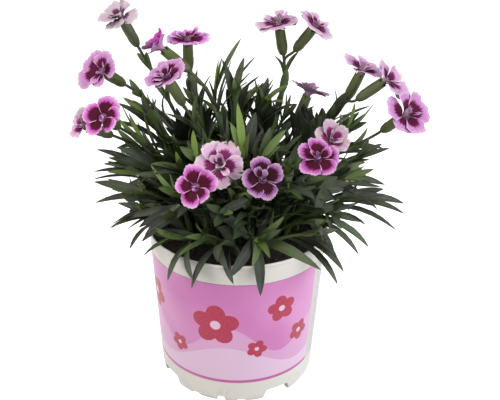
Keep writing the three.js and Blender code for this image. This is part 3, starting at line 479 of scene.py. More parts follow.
# For each stem: how far up its small leaves grow, then its flower, and a second one where the
# stem forks. Each flower has the middle of its face, the way it faces, its width, how many
# degrees its petals rise, and its colouring.
FLOWERING_STEMS = [
    ([0.62, 0.84], ((-75, 20, 245), (-0.46, 0, 0.89), 27, 12, "ashen")),
    ([0.6, 0.85], ((-48, 0, 230), (-0.75, 0.1, 0.6), 23, 32, "deep")),
    ([0.8], ((-33, 20, 230), (0, -0.1, 0.99), 29, 4, "mauve")),
    ([0.62, 0.82], ((-82, -20, 221), (-0.5, -0.65, 0.57), 27, 4, "streaked")),
    ([0.7], ((-80, -40, 199), (-0.3, -0.77, 0.56), 26, 8, "bright")),
    ([0.72], ((-94, -24, 188), (-0.65, -0.55, 0.5), 22, 20, "pale")),
    ([0.78], ((-42, -34, 222), (-0.4, -0.3, 0.86), 26, 14, "streaked")),
    ([0.84], ((25, 25, 240), (-0.17, -0.1, 0.98), 28, 3, "rosy"),
     ((48, 20, 240), (0.56, -0.2, 0.8), 27, 3, "rosy")),
    ([0.7], ((46, 25, 194), (0.36, 0.25, 0.9), 27, 14, "faded")),
    ([0.8], ((78, 10, 214), (0.38, -0.08, 0.92), 28, 13, "lilac"),
     ((92, 0, 211), (0.8, 0, 0.6), 28, 14, "lilac")),
    ([0.7], ((103, -18, 194.5), (0.56, -0.48, 0.67), 30, 20, "streaked")),
    ([0.75], ((55, -38, 185), (0.3, -0.7, 0.65), 25, 24, "muted")),
    # The next two flowers take colourings darkened as painted shade, for they sit in shadow low at the front
    # of the tuft.
    ([0.75], ((46, -58, 182), (0.12, -0.62, 0.77), 26, 8, "dark")),
    ([0.75], ((14, -66, 172), (0.08, -0.86, 0.5), 25, 8, "mauve_in_painted_shade")),
    ([0.78], ((-11, -44, 171), (0.02, -0.8, 0.6), 29, 7, "pale")),
    ([0.72], ((-25, -65, 166), (-0.2, -0.88, 0.43), 26, 7, "bright")),
]
FORK = 0.95

# For each leafy shoot: its tip, how many pairs of leaves it carries, and its longest leaves,
# each by where it grows and the place of its point.
LEAFY_SHOOTS = [
    ((-33, -43, 121), 0, [(0.8, -43, -62, 101), (0.9, -27, -66, 104), (0.6, -57, -42, 120)]),
    ((-11, -46, 121), 2, [(0.85, -28, -69, 100), (0.7, -5, -69, 100), (1, -7, -66, 112)]),
    ((11, -47, 123), 2, [(0.8, -5, -68, 107), (0.9, 14, -71, 96), (0.7, 7, -70, 108)]),
    ((39, -38, 121), 0, [(0.75, 63, -54, 94), (0.9, 67, -50, 101), (1, 62, -52, 112)]),
    ((50, -20, 127), 0, [(0.8, 79, -30, 102), (0.9, 87, -20, 102), (0.7, 65, -30, 118)]),
    ((64, -4, 128), 2, [(0.75, 107, -7, 108), (0.9, 113, 0, 117), (1, 114, 9, 120.5)]),
    ((61, 5, 142), 3, [(0.85, 92, -12, 126), (0.9, 99, 6, 136)]),
    ((56, 3, 166), 3, [(0.9, 84, 0, 194), (0.8, 95, -4, 162), (0.97, 78, 6, 188)]),
    ((14, 8, 186), 2, [(1, 11, 9, 212), (0.8, 21, 12, 208), (0.65, 36, -6, 197)]),
    ((-3, 4, 193), 2, [(1, 1, 9, 234), (0.8, -11, 9, 221), (0.65, 9, 14, 221)]),
    ((-24, 0, 184), 2, [(1, -27, 9, 213), (0.82, -36, 4, 206), (0.65, -46, -12, 192)]),
    ((-51, 0, 176), 2, [(1, -64, 2, 203), (0.8, -76, 0, 196), (0.62, -80, -4, 184)]),
    ((-61, -8, 148), 2, [(0.9, -92, -4, 164), (0.8, -94, -8, 150), (0.7, -92.5, -20, 150)]),
    ((-51, -26, 127), 2, [(0.85, -82, -31, 121), (0.75, -78, -14, 128), (0.9, -68, -44, 113)]),
    ((-31, -31, 157), 3, [(0.9, -50, -52, 168)]),
    ((28, -33, 158), 3, [(0.9, 48, -44, 150)]),
    ((2, -34, 158), 3, []),
    ((62, 34, 134), 4, []),
    ((24, 64, 130), 3, []),
    ((-22, 62, 132), 3, []),
    ((-60, 32, 138), 4, []),
    ((2, 38, 172), 4, []),
]


def unit(vectors):
    """Vectors divided by their lengths."""
    return vectors / np.linalg.norm(vectors, axis=-1, keepdims=True)


def square_to(vectors, directions):
    """The part of each vector that is square to a unit direction, as a unit vector."""
    return unit(vectors - (vectors * directions).sum(-1, keepdims=True) * directions)


def chance(a, b, c):
    """A repeatable draw between 0 and 1 from three whole numbers: the fraction left of a
    large multiple of a sine."""
    wave = math.sin(11 + a * 12.9898 + b * 78.233 + c * 37.719) * 43758.5453
    return wave - math.floor(wave)


def frame_across(facing):
    """Two unit vectors square to a facing and to each other."""
    side = square_to(np.array([0.0, 1.0, 0.0]) if abs(facing[2]) > 0.9 else UP, facing)
    return side, np.cross(facing, side)


def outwards(facing, turn):
    """Unit vectors square to a facing, at angles about it."""
    side, across = frame_across(facing)
    return np.cos(turn)[..., None] * side + np.sin(turn)[..., None] * across


def carried(points, foot, facing):
    """Points of something upright, moved to a foot and turned to a facing."""
    return foot + points @ np.array([*frame_across(facing), facing])


def bezier(points, share):
    """Places and unit tangents on a Bezier curve of three or four control points at each
    share: weighted sums of the points, and of their differences."""
    share = np.atleast_1d(share)[:, None]
    points = np.array(points, float)
    order = len(points) - 1
    weights = [math.comb(order, k) * share ** k * (1 - share) ** (order - k) for k in range(order + 1)]
    slopes = [math.comb(order - 1, k) * share ** k * (1 - share) ** (order - 1 - k) for k in range(order)]
    places = sum(weight * point for weight, point in zip(weights, points))
    tangents = sum(slope * step for slope, step in zip(slopes, np.diff(points, axis=0)))
    return places, unit(tangents)


def station(curve, share):
    """The place on a stem's curve at one share, and the way it grows there."""
    places, tangents = bezier(curve, share)
    return places[0], tangents[0]


def places_along(curve, count, rooted=0):
    """Even places along a stem's curve, after one that is rooted that deep below its start."""
    places, _ = bezier(curve, np.linspace(0, 1, count))
    return np.concatenate([[places[0] - rooted * UP], places]) if rooted else places


def shoot_curve(start, tip, rise):
    """Control points of a shoot that rises straight before it leans out to its tip. Its curve
    turns at a share of its height."""
    return [start, start + UP * rise * (tip[2] - start[2]), tip]


def flower_curve(start, rising, end, facing):
    """Control points of a stem that leaves along one direction and meets its flower along
    another."""
    reach = np.linalg.norm(end - start)
    return [start, start + STEM_RISE * reach * rising, end - STEM_ARRIVAL * reach * facing, end]


def calyx_at(flower):
    """The foot and the facing of a flower's calyx."""
    facing = unit(np.array(flower[1], float))
    return np.array(flower[0], float) - CALYX_LENGTH * facing, facing


def node_corners(name):
    """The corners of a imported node, in millimetres."""
    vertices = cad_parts[name].data.vertices
    flat = np.empty(len(vertices) * 3, np.float32)
    vertices.foreach_get("co", flat)
    return flat.reshape(-1, 3) / MM


def foot_of(corners):
    """Where a packed stem starts: above the middle of its lowest ring."""
    corners = corners[np.hypot(corners[:, 0], corners[:, 1]) < LEAF_FREE_RADIUS]
    low = corners[corners[:, 2] < corners[:, 2].min() + 0.1].mean(0)
    return np.array([low[0], low[1], STEM_START])


# ---- Leaves ---------------------------------------------------------------------------
# Narrow fleshy leaves with a channel above and a keel below, widest in the middle and drawn
# out to a fine point. The old ones are dark blue-green with a waxy bloom, the young ones at
# the shoots' tips a fresh yellow-green.

# A leaf's grid: its stations along, and a ring of corners as shares of half its width and of
# its keel's depth.
BLADE = (np.array([0, 0.08, 0.2, 0.34, 0.5, 0.66, 0.79, 0.88, 0.95, 0.985, 1]),
         np.array([(-1, 0), (-0.55, -0.3), (0, -0.5), (0.55, -0.3), (1, 0),
                   (0.55, -0.75), (0, -1), (-0.55, -0.75), (-1, 0)]))
SLIM_BLADE = (np.array([0, 0.12, 0.3, 0.5, 0.7, 0.86, 0.95, 1]),
              np.array([(-1, 0), (0, -0.5), (1, 0), (0, -1), (-1, 0)]))
# Where a packed leaf may have been bent clear of others: aside and up, as shares of its
# length, and how far it may have been cut short.
SHIFTS = np.array([
    (0, 0), (0.07, 0), (-0.07, 0), (0, 0.07), (0, -0.07), (0.14, 0.04), (-0.14, 0.04),
    (0.14, -0.05), (-0.14, -0.05), (0.22, 0.08), (-0.22, 0.08), (0, 0.16), (0.3, 0), (-0.3, 0),
])
SHORTENINGS = (1, 0.85, 0.7, 0.55)
MATCH = 0.2  # how near a corner must be to the place of a packed leaf's point
ROOT_ASIDE = 0.4  # from the stem's middle towards the leaf's side
# How far the leaves of a pair spread from their stem, and their lengths: the lowest and the
# top pair's.
PAIR_SPREADS = (54, 34)
PAIR_LENGTHS = (54, 30)


def leaves(roots, points, grows, widths, tones, blade, finish=0, twist=0.0, keel=0.95, bow=0.14):
    """Leaves, as a part of a piece. Each runs on a quadratic Bezier curve from root to point
    that bows to its upper side, and carries a ring of corners: across by half the width at
    that share, and down from the upper face by the keel's depth. Twist turns the ring along
    the way."""
    shares, ring = blade
    chords = points - roots
    lengths = np.linalg.norm(chords, axis=-1, keepdims=True)
    upper = square_to(grows, chords / lengths)
    bends = roots + 0.45 * chords + 2 * bow * lengths * upper
    t = shares[None, :, None]
    middle = (1 - t) ** 2 * roots[:, None] + 2 * t * (1 - t) * bends[:, None] + t ** 2 * points[:, None]
    tangent = unit((1 - t) * (bends - roots)[:, None] + t * (points - bends)[:, None])
    lift = square_to(upper[:, None] + 0 * tangent, tangent)
    across = np.cross(tangent, lift)
    turn = np.broadcast_to(twist, len(roots))[:, None, None] * t
    across, lift = np.cos(turn) * across + np.sin(turn) * lift, np.cos(turn) * lift - np.sin(turn) * across
    breadth = np.interp(shares, (0, 0.12, 0.26, 0.42, 0.6, 0.75, 0.87, 0.95, 1),
                        (0.3, 0.62, 0.86, 1, 1, 0.84, 0.54, 0.26, 0))
    half = (widths[:, None] / 2 * breadth)[..., None, None]
    deep = (keel * np.sqrt(breadth))[None, :, None, None]
    corners = (middle[:, :, None] + half * ring[None, None, :, :1] * across[:, :, None]
               + deep * ring[None, None, :, 1:] * lift[:, :, None])
    closed = np.repeat(middle[:, :1, None] - 0.3 * tangent[:, :1, None], len(ring), axis=2)
    grid = np.concatenate([closed, corners], axis=1)
    return grid, sheet(ring[:, 0] / 2 + 0.5, [0, *shares]), tones[:, None, None], finish


def columns(rows):
    """The columns of a list of rows, as arrays."""
    return [np.array(column) for column in zip(*rows)]


def half_turn(points):
    """How far the blades at the tuft's two sides turn their upper faces to the front, as
    leaves do that hang over a rim: most at the sides, and not at all in the middle."""
    return -0.5 * np.clip(points[:, 0] / 60, -1, 1)


def grown_point(corners, root, wanted, growth):
    """Where a packed leaf's point ended up: the first of the places it could have moved to
    that is a corner of its node, or nothing."""
    chord = wanted - root
    length = np.linalg.norm(chord)
    direction = chord / length
    upper = square_to(growth, direction)
    across = np.cross(direction, upper)
    for shorter in SHORTENINGS:
        places = root + length * shorter * (direction + SHIFTS[:, :1] * across + SHIFTS[:, 1:] * upper)
        gaps = np.linalg.norm(places[:, None] - corners[None], axis=-1).min(1)
        if gaps.min() < MATCH:
            return places[np.argmax(gaps < MATCH)]
    return None


def grown_leaves(curve, corners, wanted_leaves):
    """Root, point, growth, width and tone of each leaf that a packed stem carries. The wanted
    leaves are given by their share of the way up, point, width and tone."""
    found = []
    for share, wanted, width, tone in wanted_leaves:
        place, growth = station(curve, share)
        root = place + ROOT_ASIDE * square_to(wanted - place, growth)
        point = grown_point(corners, root, wanted, growth)
        if point is not None:
            found.append((root, point, growth, width, tone))
    return found


def pair_points(curve, number, pair, share, spread, length):
    """The wanted points of the two leaves of a pair, spread from the stem's growth."""
    place, growth = station(curve, share)
    start = math.radians(90 * pair + 360 * chance(number, 0, 7))
    for half in range(2):
        turn = start + math.pi * half + 0.5 * (chance(number, pair, 8 + half) - 0.5)
        angle = math.radians(spread * (1 + 0.3 * (chance(number, pair, 10 + half) - 0.5)))
        reach = length * (1 + 0.2 * (chance(number, pair, 12 + half) - 0.5))
        yield place + reach * (math.cos(angle) * growth + math.sin(angle) * outwards(growth, turn))


def leaf_finish(name, old, young, vein):
    """A leaf's material: its tone attribute runs from old to young, with a paler midrib,
    fine lengthwise veins 0.4 mm apart, and a waxy bloom that comes and goes."""
    material, tree = new_finish(name)
    layout = add(tree, "SeparateXYZ", add(tree, "UVMap", uv_map="Layout")).outputs
    place = add(tree, "TexCoord").outputs["Object"]
    tone = add(tree, "Attribute", attribute_name="tone").outputs["Fac"]
    blotches = add(tree, "TexNoise", place, Scale=70, Detail=4)
    shade = add(tree, "MULTIPLY_ADD", blotches, 0.35, tone)
    shade = add(tree, "SUBTRACT", shade, 0.17, use_clamp=True)
    flesh = add(tree, "MixRGB", shade, linear(old), linear(young))
    aside = add(tree, "ABSOLUTE", add(tree, "SUBTRACT", layout[0], 0.5))
    rib = add(tree, "MapRange", aside, 0.1, 0.0, 0.0, 0.35)
    flesh = add(tree, "MixRGB", rib, flesh, linear(vein))
    base = add(tree, "MapRange", layout[1], 0.22, 0.0, 0.0, 0.5)
    flesh = add(tree, "MixRGB", base, flesh, linear(vein))
    bloom = add(tree, "MapRange", add(tree, "TexNoise", place, Scale=35, Detail=3), 0.35, 0.7, 0.0, 0.14)
    flesh = add(tree, "MixRGB", bloom, flesh, linear("7d887c"))
    veins = add(tree, "SINE", add(tree, "MULTIPLY", layout[0], 80.0))
    ridges = add(tree, "Bump", Strength=0.12, Distance=0.0003, Height=veins)
    shader = add(tree, "BsdfPrincipled", Base_Color=flesh, Roughness=0.5, IOR=1.4, Normal=ridges)
    add(tree, "OutputMaterial", shader)
    return material


leaf_green = leaf_finish("waxy_blue_green_leaf", "23281f", "6f8a36", "566349")

# ---- Flowering stems --------------------------------------------------------------------
# A smooth wiry stem, swollen where each pair of leaves clasps it, carries a ribbed tubular
# calyx that ends in five teeth, with two pairs of small pointed scales hugging its foot.
STEM_COLUMNS = 9
STEM_STATIONS = 34
STEM_RADII = (1.45, 1.15, 0.95)  # at its foot, at its long leaves and under its flower
LOW_PAIR = 0.3  # where a flowering stem's long leaves grow
BRACT_LENGTHS = (22, 16)
BRACT_DRAWS = 10  # bracts' random draws count on from here, where pairs count from 0
stem_green = leaf_finish("waxy_green_stem", "222c19", "525c22", "434c2a")
STEM_SPOT = (0.3, 0.6)  # the one place in the layout of a stem and its calyx
CALYX_ROWS = (-0.4, 0, 1, 2, 3, 4.5, 6, 8, 10, 12, 14, 16, 17.4)
# The calyx is dark at its foot, olive along its tube and yellowish at its teeth.
CALYX_TONES = np.interp((*CALYX_ROWS, 19, 19, 16, 14), (0, 5, 14, 19), (0.25, 0.5, 0.62, 1))[:, None]
# The scales: bearing, height of the foot and length.
SCALES = [(20, 0.1, 7.5), (200, 0.1, 7.5), (110, 1.2, 9.5), (290, 1.2, 9.5)]


def tube(places, radii, ring=STEM_COLUMNS):
    """A tube's grid: rings of corners square to its path, turned as little as possible, with
    its two ends closed to points."""
    tangents = unit(np.gradient(places, axis=0))
    side = square_to(np.array([1.0, 0.0, 0.0]), tangents[0])
    turn = np.linspace(0, 2 * math.pi, ring)[:, None]
    rings = []
    for place, tangent, radius in zip(places, tangents, radii):
        side = square_to(side, tangent)
        rings.append(place + radius * (np.cos(turn) * side + np.sin(turn) * np.cross(tangent, side)))
    ends = [np.repeat(place[None], ring, axis=0) for place in (places[0], places[-1])]
    return np.array([ends[0], *rings, ends[1]])


def calyx_radius(height):
    """Radius of the calyx at a height above its foot."""
    return np.interp(height, (-0.4, 0, 1, 3, 6, 10, 14, 17, 19),
                     (0, 0.95, 1.7, 2.5, 3.05, 3.35, 3.35, 3.2, 3.15))


def calyx(foot, facing):
    """A calyx's grid: its radius carried round its axis with twenty fine ribs, its mouth
    drawn up into five teeth, and turned in to the bore."""
    turn = np.linspace(0, 2 * math.pi, 61)
    tooth = np.abs(np.cos(2.5 * turn)) ** 1.3
    rows = [(calyx_radius(height) * (1 + 0.02 * np.cos(20 * turn) * (height > 2)), height)
            for height in CALYX_ROWS]
    rows += [(3.15 + 0.05 * tooth, 17.6 + 3.6 * tooth), (2.85 + 0.1 * tooth, 17.4 + 3.3 * tooth)]
    return carried(turned([*rows, (2.8, 16.5), (0, 14.5)], turn), foot, facing)


def scales(foot, facing):
    """Grids of the four small scales that hug the calyx's foot, two low and two high. Each
    is a pointed patch wrapped round the calyx, thickest along its middle."""
    share = np.linspace(0, 1, 9)[:, None]
    aside = np.concatenate([np.linspace(-1, 1, 7), np.linspace(1, -1, 7)])
    outside = np.arange(14) < 7
    grids = []
    for bearing, low, length in SCALES:
        height = low + length * share + 0 * aside
        breadth = 1.15 * (1 - share ** 2.6) ** 0.8
        thick = 0.12 + 0.4 * (1 - np.abs(aside) ** 3) * (1 - share ** 4) * outside
        grids.append(polar(calyx_radius(height) + thick, math.radians(bearing) + breadth * aside, height))
    return carried(np.array(grids), foot, facing)


for number, (bracts, *heads) in enumerate(FLOWERING_STEMS):
    name = f"flower_stem_{number + 1:02d}"
    corners = node_corners(name)
    calyces = [calyx_at(head) for head in heads]
    curve = flower_curve(foot_of(corners), UP, *calyces[0])
    shares = np.linspace(0, 1, STEM_STATIONS)
    swelling = 0.45 * np.exp(-(((shares[:, None] - [LOW_PAIR, *bracts]) / 0.018) ** 2)).sum(1)
    radii = np.interp(shares, (0, LOW_PAIR, 1), STEM_RADII) + swelling
    stalks = [(tube(places_along(curve, STEM_STATIONS, ROOTED), [STEM_RADII[0], *radii]), 0.1)]
    for branch in calyces[1:]:
        fork = flower_curve(*station(curve, FORK), *branch)
        stalks.append((tube(places_along(fork, 12), np.full(12, 0.92)), 0.2))
    parts = []
    for (stalk, tone), (foot, facing) in zip(stalks, calyces):
        parts.append((stalk[None], STEM_SPOT, tone, 0))
        parts.append((calyx(foot, facing)[None], STEM_SPOT, CALYX_TONES, 0))
    parts += [(scales(foot, facing), STEM_SPOT, 0.5, 0) for foot, facing in calyces]
    wanted = []
    for k, share in enumerate(bracts):
        points = pair_points(curve, number, BRACT_DRAWS + k, share, PAIR_SPREADS[1], BRACT_LENGTHS[k])
        wanted += [(share, point, 4.2, 0.3) for point in points]
    points = pair_points(curve, number, 0, LOW_PAIR, PAIR_SPREADS[0], PAIR_LENGTHS[0])
    wanted += [(LOW_PAIR, point, 7.0, 0.12) for point in points]
    found = grown_leaves(curve, corners, wanted)
    if found:
        parts.append(leaves(*columns(found), BLADE, finish=1))
    made = piece(name + "_and_calyx", parts, [stem_green, leaf_green])
    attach(made, "root")
    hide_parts(name)

# ---- Leafy shoots -----------------------------------------------------------------------
# Each shoot is a short soft stem packed with pairs of leaves, the lowest long and spreading
# over the rim, the top ones short, upright and pale. It ends in a tight fan of small upright
# leaves round its growing point.
SHOOT_SPOT = 0.25
SHOOT_STATIONS = 16
LOWEST_PAIR = 0.4
# The fan: how many degrees each leaf leans out, and its length.
FAN_LEANS = np.array([8, 10, 15, 18, 24, 28])
FAN_LENGTHS = np.array([12, 13, 17, 19, 24, 27])


def blade_width(x):
    """Width of a long blade: narrower where its point is far out at a side."""
    if abs(x) < 72:
        return 6.8
    return 5.8 if x > 0 else 5.2


leaf_rng = np.random.default_rng(23)
for number, (tip, pairs, blades) in enumerate(LEAFY_SHOOTS):
    name = f"leafy_shoot_{number + 1:02d}"
    corners = node_corners(name)
    tip = np.array(tip, float)
    curve = shoot_curve(foot_of(corners), tip, 0.55)
    radii = np.interp(np.linspace(0, 1, SHOOT_STATIONS + 1), (0, 0.5, 1), (1.5, 1.4, 1.0))
    wanted = [(share, np.array(point, float), blade_width(point[0]), 0.05) for share, *point in blades]
    for pair in range(pairs):
        high = pair / max(pairs - 1, 1)
        share = LOWEST_PAIR + (1 - LOWEST_PAIR) * high
        spread, length = (np.interp(high, (0, 1), ends) for ends in (PAIR_SPREADS, PAIR_LENGTHS))
        points = pair_points(curve, len(FLOWERING_STEMS) + number, pair, share, spread, length)
        wanted += [(share, point, 7 - 2 * high, 0.05 + 0.3 * high) for point in points]
    roots, points, grows, widths, tones = columns(grown_leaves(curve, corners, wanted))
    tones = np.clip(tones + leaf_rng.normal(0, 0.07, len(tones)), 0, 1)
    growth = station(curve, 1.0)[1]
    out = outwards(growth, np.arange(6) * 1.9 + number)
    lean = np.radians(FAN_LEANS)[:, None]
    reach = FAN_LENGTHS[:, None] * leaf_rng.uniform(0.85, 1.15, (6, 1))
    fan_points = tip + reach * (np.cos(lean) * growth + np.sin(lean) * out)
    fan_widths = np.linspace(2.8, 5.2, 6)
    fan_tones = np.clip(np.linspace(0.7, 0.2, 6) + leaf_rng.normal(0, 0.1, 6), 0, 1)
    made = piece(name + "_leaves", [
        (tube(places_along(curve, SHOOT_STATIONS, ROOTED), radii)[None], SHOOT_SPOT, 0.3, 0),
        leaves(roots, points, grows, widths, tones, BLADE, twist=half_turn(points)),
        leaves(tip + 0.3 * out, fan_points, growth + 0 * out, fan_widths, fan_tones, SLIM_BLADE),
    ], [leaf_green])
    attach(made, "root")
    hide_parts(name)

# ---- Crown leaves -------------------------------------------------------------------------
# Taller shoots that stand among the others and give the tuft its outline: long blades drawn
# up from their tops, the newest of them pale. Each stands on its own wiry stem in the soil.

# For each: its top, then its leaves by point, width and tone, the tone running from old to
# young.
CROWN_SHOOTS = [
    ((-16, 5, 197), [(1, 10, 234, 5.5, 0.35), (-13, 7, 221, 5, 0.75), (-11, 9, 222, 4.4, 0.8),
     (-19, 5, 208, 4.5, 0.4), (-5, 11, 220, 5, 0.3), (-23, 1, 206, 4.5, 0.2), (-8, 1, 210, 5, 0.15)]),
    ((-5, 8, 202), [(10, 11, 222, 4, 0.15), (7, 8, 213, 5, 0.1), (13, 10, 210, 3.6, 0.15),
     (0, 4, 218, 5, 0.3)]),
    ((12, 12, 190), [(10, 14, 207, 4.5, 0.7), (7, 12, 201, 4, 0.5), (15, 15, 204, 4, 0.4),
     (18, 12, 204, 4, 0.4), (22, 14, 207, 4.5, 0.8), (22, 7, 206, 7, 0.05), (3, 6, 200, 5, 0.2)]),
    ((30, 14, 183), [(31, 16, 196, 4.5, 0.5), (34, 18, 195, 4, 0.4), (26, 14, 190, 4.5, 0.3),
     (38, 14, 190, 5, 0.15), (46, 17, 186, 4.5, 0.1), (22, 18, 191, 5, 0.15)]),
    ((-27, 12, 194), [(-27, 14, 213, 4, 0.1), (-32, 12, 203, 5, 0.15), (-22, 12, 201, 5, 0.2),
     (-34, 9, 194, 5, 0.2)]),
    ((-56, -5, 164), [(-74, -5, 195, 4.4, 0.45), (-69, -9, 191, 4.4, 0.7),
     (-76, -11, 189, 3.8, 0.85), (-65, -2, 183, 5, 0.2), (-60, -5, 189, 5, 0.25)]),
    ((-51, 0, 180), [(-71, -4, 197, 4.6, 0.7), (-62, 0, 204, 4.4, 0.6), (-59, 4, 200, 4.4, 0.45),
     (-69, 3, 188, 5, 0.35), (-55, 0, 198, 5, 0.2)]),
    ((-64, -15, 153), [(-82, -23, 164, 3, 0.1), (-84, -15, 153, 3.4, 0.6),
     (-81, -10, 166, 3.6, 0.3), (-76, -12, 158, 4, 0.7), (-72, -12, 160, 4.6, 0.2)]),
    ((-61, -25, 145), [(-90, -30, 153, 6, 0.05), (-83, -25, 153, 4, 0.7), (-80, -26, 146, 4.4, 0.5),
     (-76, -28, 141, 4.6, 0.1), (-71, -30, 140, 5, 0.05)]),
    ((-39, -45, 153), [(-52, -49, 173, 5, 0.85), (-41, -48, 167, 5, 0.8), (-48, -53, 160, 5, 0.4)]),
    ((-25, -40, 173), [(-27, -40, 192, 4.4, 0.9), (-35, -44, 183, 5.5, 0.4),
     (-21, -40, 187, 5, 0.3), (-31, -37, 184, 5, 0.25)]),
    ((3, -38, 174), [(-1, -34, 207, 5, 0.95), (-5, -38, 196, 4.6, 0.8), (10, -36, 202, 8, 0.0),
     (6, -42, 191, 5, 0.35), (-8, -38, 186, 5, 0.2)]),
    ((14, -38, 173), [(28, -38, 192, 5, 0.5), (19, -34, 192, 5.5, 0.15), (25, -44, 184, 5, 0.3),
     (8, -33, 186, 5, 0.1)]),
    ((59, 16, 177), [(67, 2, 202, 7, 0.08), (61, 5, 194, 5.5, 0.15), (53, 2, 192, 5.5, 0.1),
     (50, 5, 188, 5, 0.3)]),
    ((70, -5, 179), [(85, -5, 197, 4, 0.75), (73, -5, 198, 5.5, 0.6), (81, -8, 186, 6, 0.05),
     (65, -2, 190, 5, 0.2), (80, -1, 189, 5, 0.2)]),
    ((76, -12, 164), [(82, -14, 178, 4.4, 0.1), (91, -12, 173, 4.6, 0.08), (97, -9, 169, 3.4, 0.1),
     (83, -17, 164, 3.6, 0.3), (87, -18, 170, 4, 0.2)]),
    ((68, -20, 152), [(86, -20, 159, 4.4, 0.4), (83, -24, 154, 3, 0.3), (92, -17, 145, 3, 0.1),
     (81, -15, 159, 4.4, 0.3)]),
    ((67, -22, 141), [(93, -22, 146, 5.6, 0.02), (93, -25, 143, 5.4, 0.0), (76, -20, 146, 5, 0.15)]),
    ((-10, -58, 147), [(6, -60, 156, 6, 0.0), (-3, -66, 150, 4, 0.8), (-19, -62, 154, 5, 0.2),
     (-14, -66, 141, 5, 0.15)]),
    ((62, -22, 131), [(78, -20, 135, 4.6, 0.05), (67, -26, 119, 6, 0.05), (60, -33, 120, 6, 0.1),
     (82, -20, 121, 4.4, 0.1)]),
    ((49, -38, 130), [(61, -46, 108, 5, 0.05), (55, -46, 116, 6, 0.0), (59, -32, 128, 5, 0.5)]),
    ((-37, -38, 141), [(-63, -36, 124, 6, 0.0), (-72, -30, 128, 4.4, 0.05),
     (-61, -40, 116, 5, 0.05), (-58, -46, 124, 6.5, 0.0), (-55, -34, 133, 6, 0.1)]),
    ((51, 7, 162), [(41, -5, 187, 7, 0.05), (46, -1, 191, 6, 0.1), (53, -5, 189, 7, 0.0),
     (37, -9, 182, 7, 0.0), (58, -2, 181, 7, 0.05), (65, -10, 181, 6.5, 0.1)]),
    ((-34, 13, 162), [(-40, 2, 191, 6.5, 0.1), (-43, -2, 185, 6.5, 0.05), (-34, 4, 189, 6, 0.15),
     (-47, -4, 180, 6.5, 0.0), (-27, 0, 187, 6.5, 0.1)]),
    ((-53, -15, 158), [(-72, -15, 174, 6, 0.15), (-66, -18, 170, 6.5, 0.0), (-76, -21, 173, 6, 0.1),
     (-83, -15, 163, 5.5, 0.1), (-62, -12, 172, 6, 0.2)]),
    ((-3, 18, 174), [(-8, 8, 202, 6, 0.1), (-5, 4, 200, 7, 0.0), (1, 8, 192, 7, 0.05),
     (-12, 6, 193, 6, 0.15)]),
    ((16, 20, 175), [(15, 10, 194, 6.5, 0.05), (20, 8, 197, 6.5, 0.1), (10, 5, 190, 6.5, 0.0),
     (25, 11, 191, 6, 0.1), (5, 8, 186, 6, 0.15)]),
    ((51, -30, 151), [(62, -30, 158, 7, 0.05), (67, -26, 147, 7, 0.0), (61, -30, 142, 7.5, 0.05),
     (71, -24, 151, 6.5, 0.1), (54, -36, 164, 6, 0.1)]),
    ((27, 22, 192), [(31, 22, 212, 5.5, 0.25), (29, 20, 199, 4, 0.2)]),
    ((44, 8, 158), [(37, -6, 194, 8, 0.05), (42, -6, 192, 8, 0.0), (47, -7, 188, 8, 0.1),
     (35, -8, 182, 8, 0.05), (52, -6, 190, 7, 0.1), (50, -9, 183, 8, 0.05)]),
    ((40, 14, 160), [(41, -4, 197, 8, 0.0), (33, -2, 192, 8, 0.05), (46, -4, 194, 7.5, 0.05),
     (45, 0, 186, 8, 0.05), (39, -10, 181, 8, 0.0)]),
    ((-26, 17, 166), [(-33, 1, 190, 7, 0.05), (-28, 0, 194, 7, 0.0), (-22, 1, 193, 7, 0.05),
     (-17, 2, 194, 7, 0.1), (-36, 0, 186, 7, 0.05), (-20, -1, 186, 7, 0.0)]),
    ((15, 18, 168), [(7, 1, 193, 7, 0.05), (11, 0, 194, 7, 0.0), (17, 2, 197, 7, 0.05),
     (23, 1, 194, 7, 0.05), (28, 1, 193, 7, 0.0), (12, -1, 187, 7, 0.05)]),
    ((49, -30, 137), [(52, -30, 150, 7, 0.05), (59, -26, 142, 7, 0.0), (45, -33, 147, 7, 0.05),
     (64, -27, 135, 7, 0.05), (54, -38, 137, 6.5, 0.1)]),
]
CROWN_ROOTED = 6
LEAVES_FROM_TOP = 0.2  # the share of a crown shoot that carries its leaves
crown_tubes, crown_leaves = [], []
for tip, blades in CROWN_SHOOTS:
    tip = np.array(tip, float)
    # Its foot stands half as far out as its top, and a little to the back.
    start = np.array([0.5 * tip[0], 0.5 * tip[1] + 4, STEM_START])
    curve = shoot_curve(start, tip, 0.5)
    curve[0] = start - CROWN_ROOTED * UP
    crown_tubes.append(tube(places_along(curve, 12), np.linspace(1.5, 1.0, 12)))
    places, tangents = bezier(curve, 1 - LEAVES_FROM_TOP * np.arange(len(blades)) / len(blades))
    for place, growth, (*point, width, tone) in zip(places, tangents, blades):
        crown_leaves.append((place, np.array(point, float), growth, width, tone))
roots, points, grows, widths, tones = columns(crown_leaves)
twist = 1.7 * half_turn(points) + leaf_rng.normal(0, 0.3, len(points))
crown = piece("crown_leaves", [
    (np.array(crown_tubes), SHOOT_SPOT, 0.25, 0),
    leaves(roots, points, grows, widths, tones, BLADE, twist=twist, bow=0.05),
], [leaf_green])
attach(crown, "root")

# ---- Filling foliage ----------------------------------------------------------------------
# Between the main shoots stand many slimmer ones, so that the tuft is dense to its middle
# and the soil is hidden. They keep inside the tuft that the main shoots make.
FILLING_PAIRS = 6
HANG_FROM = 50  # the radius from which a leaf's point may hang lower


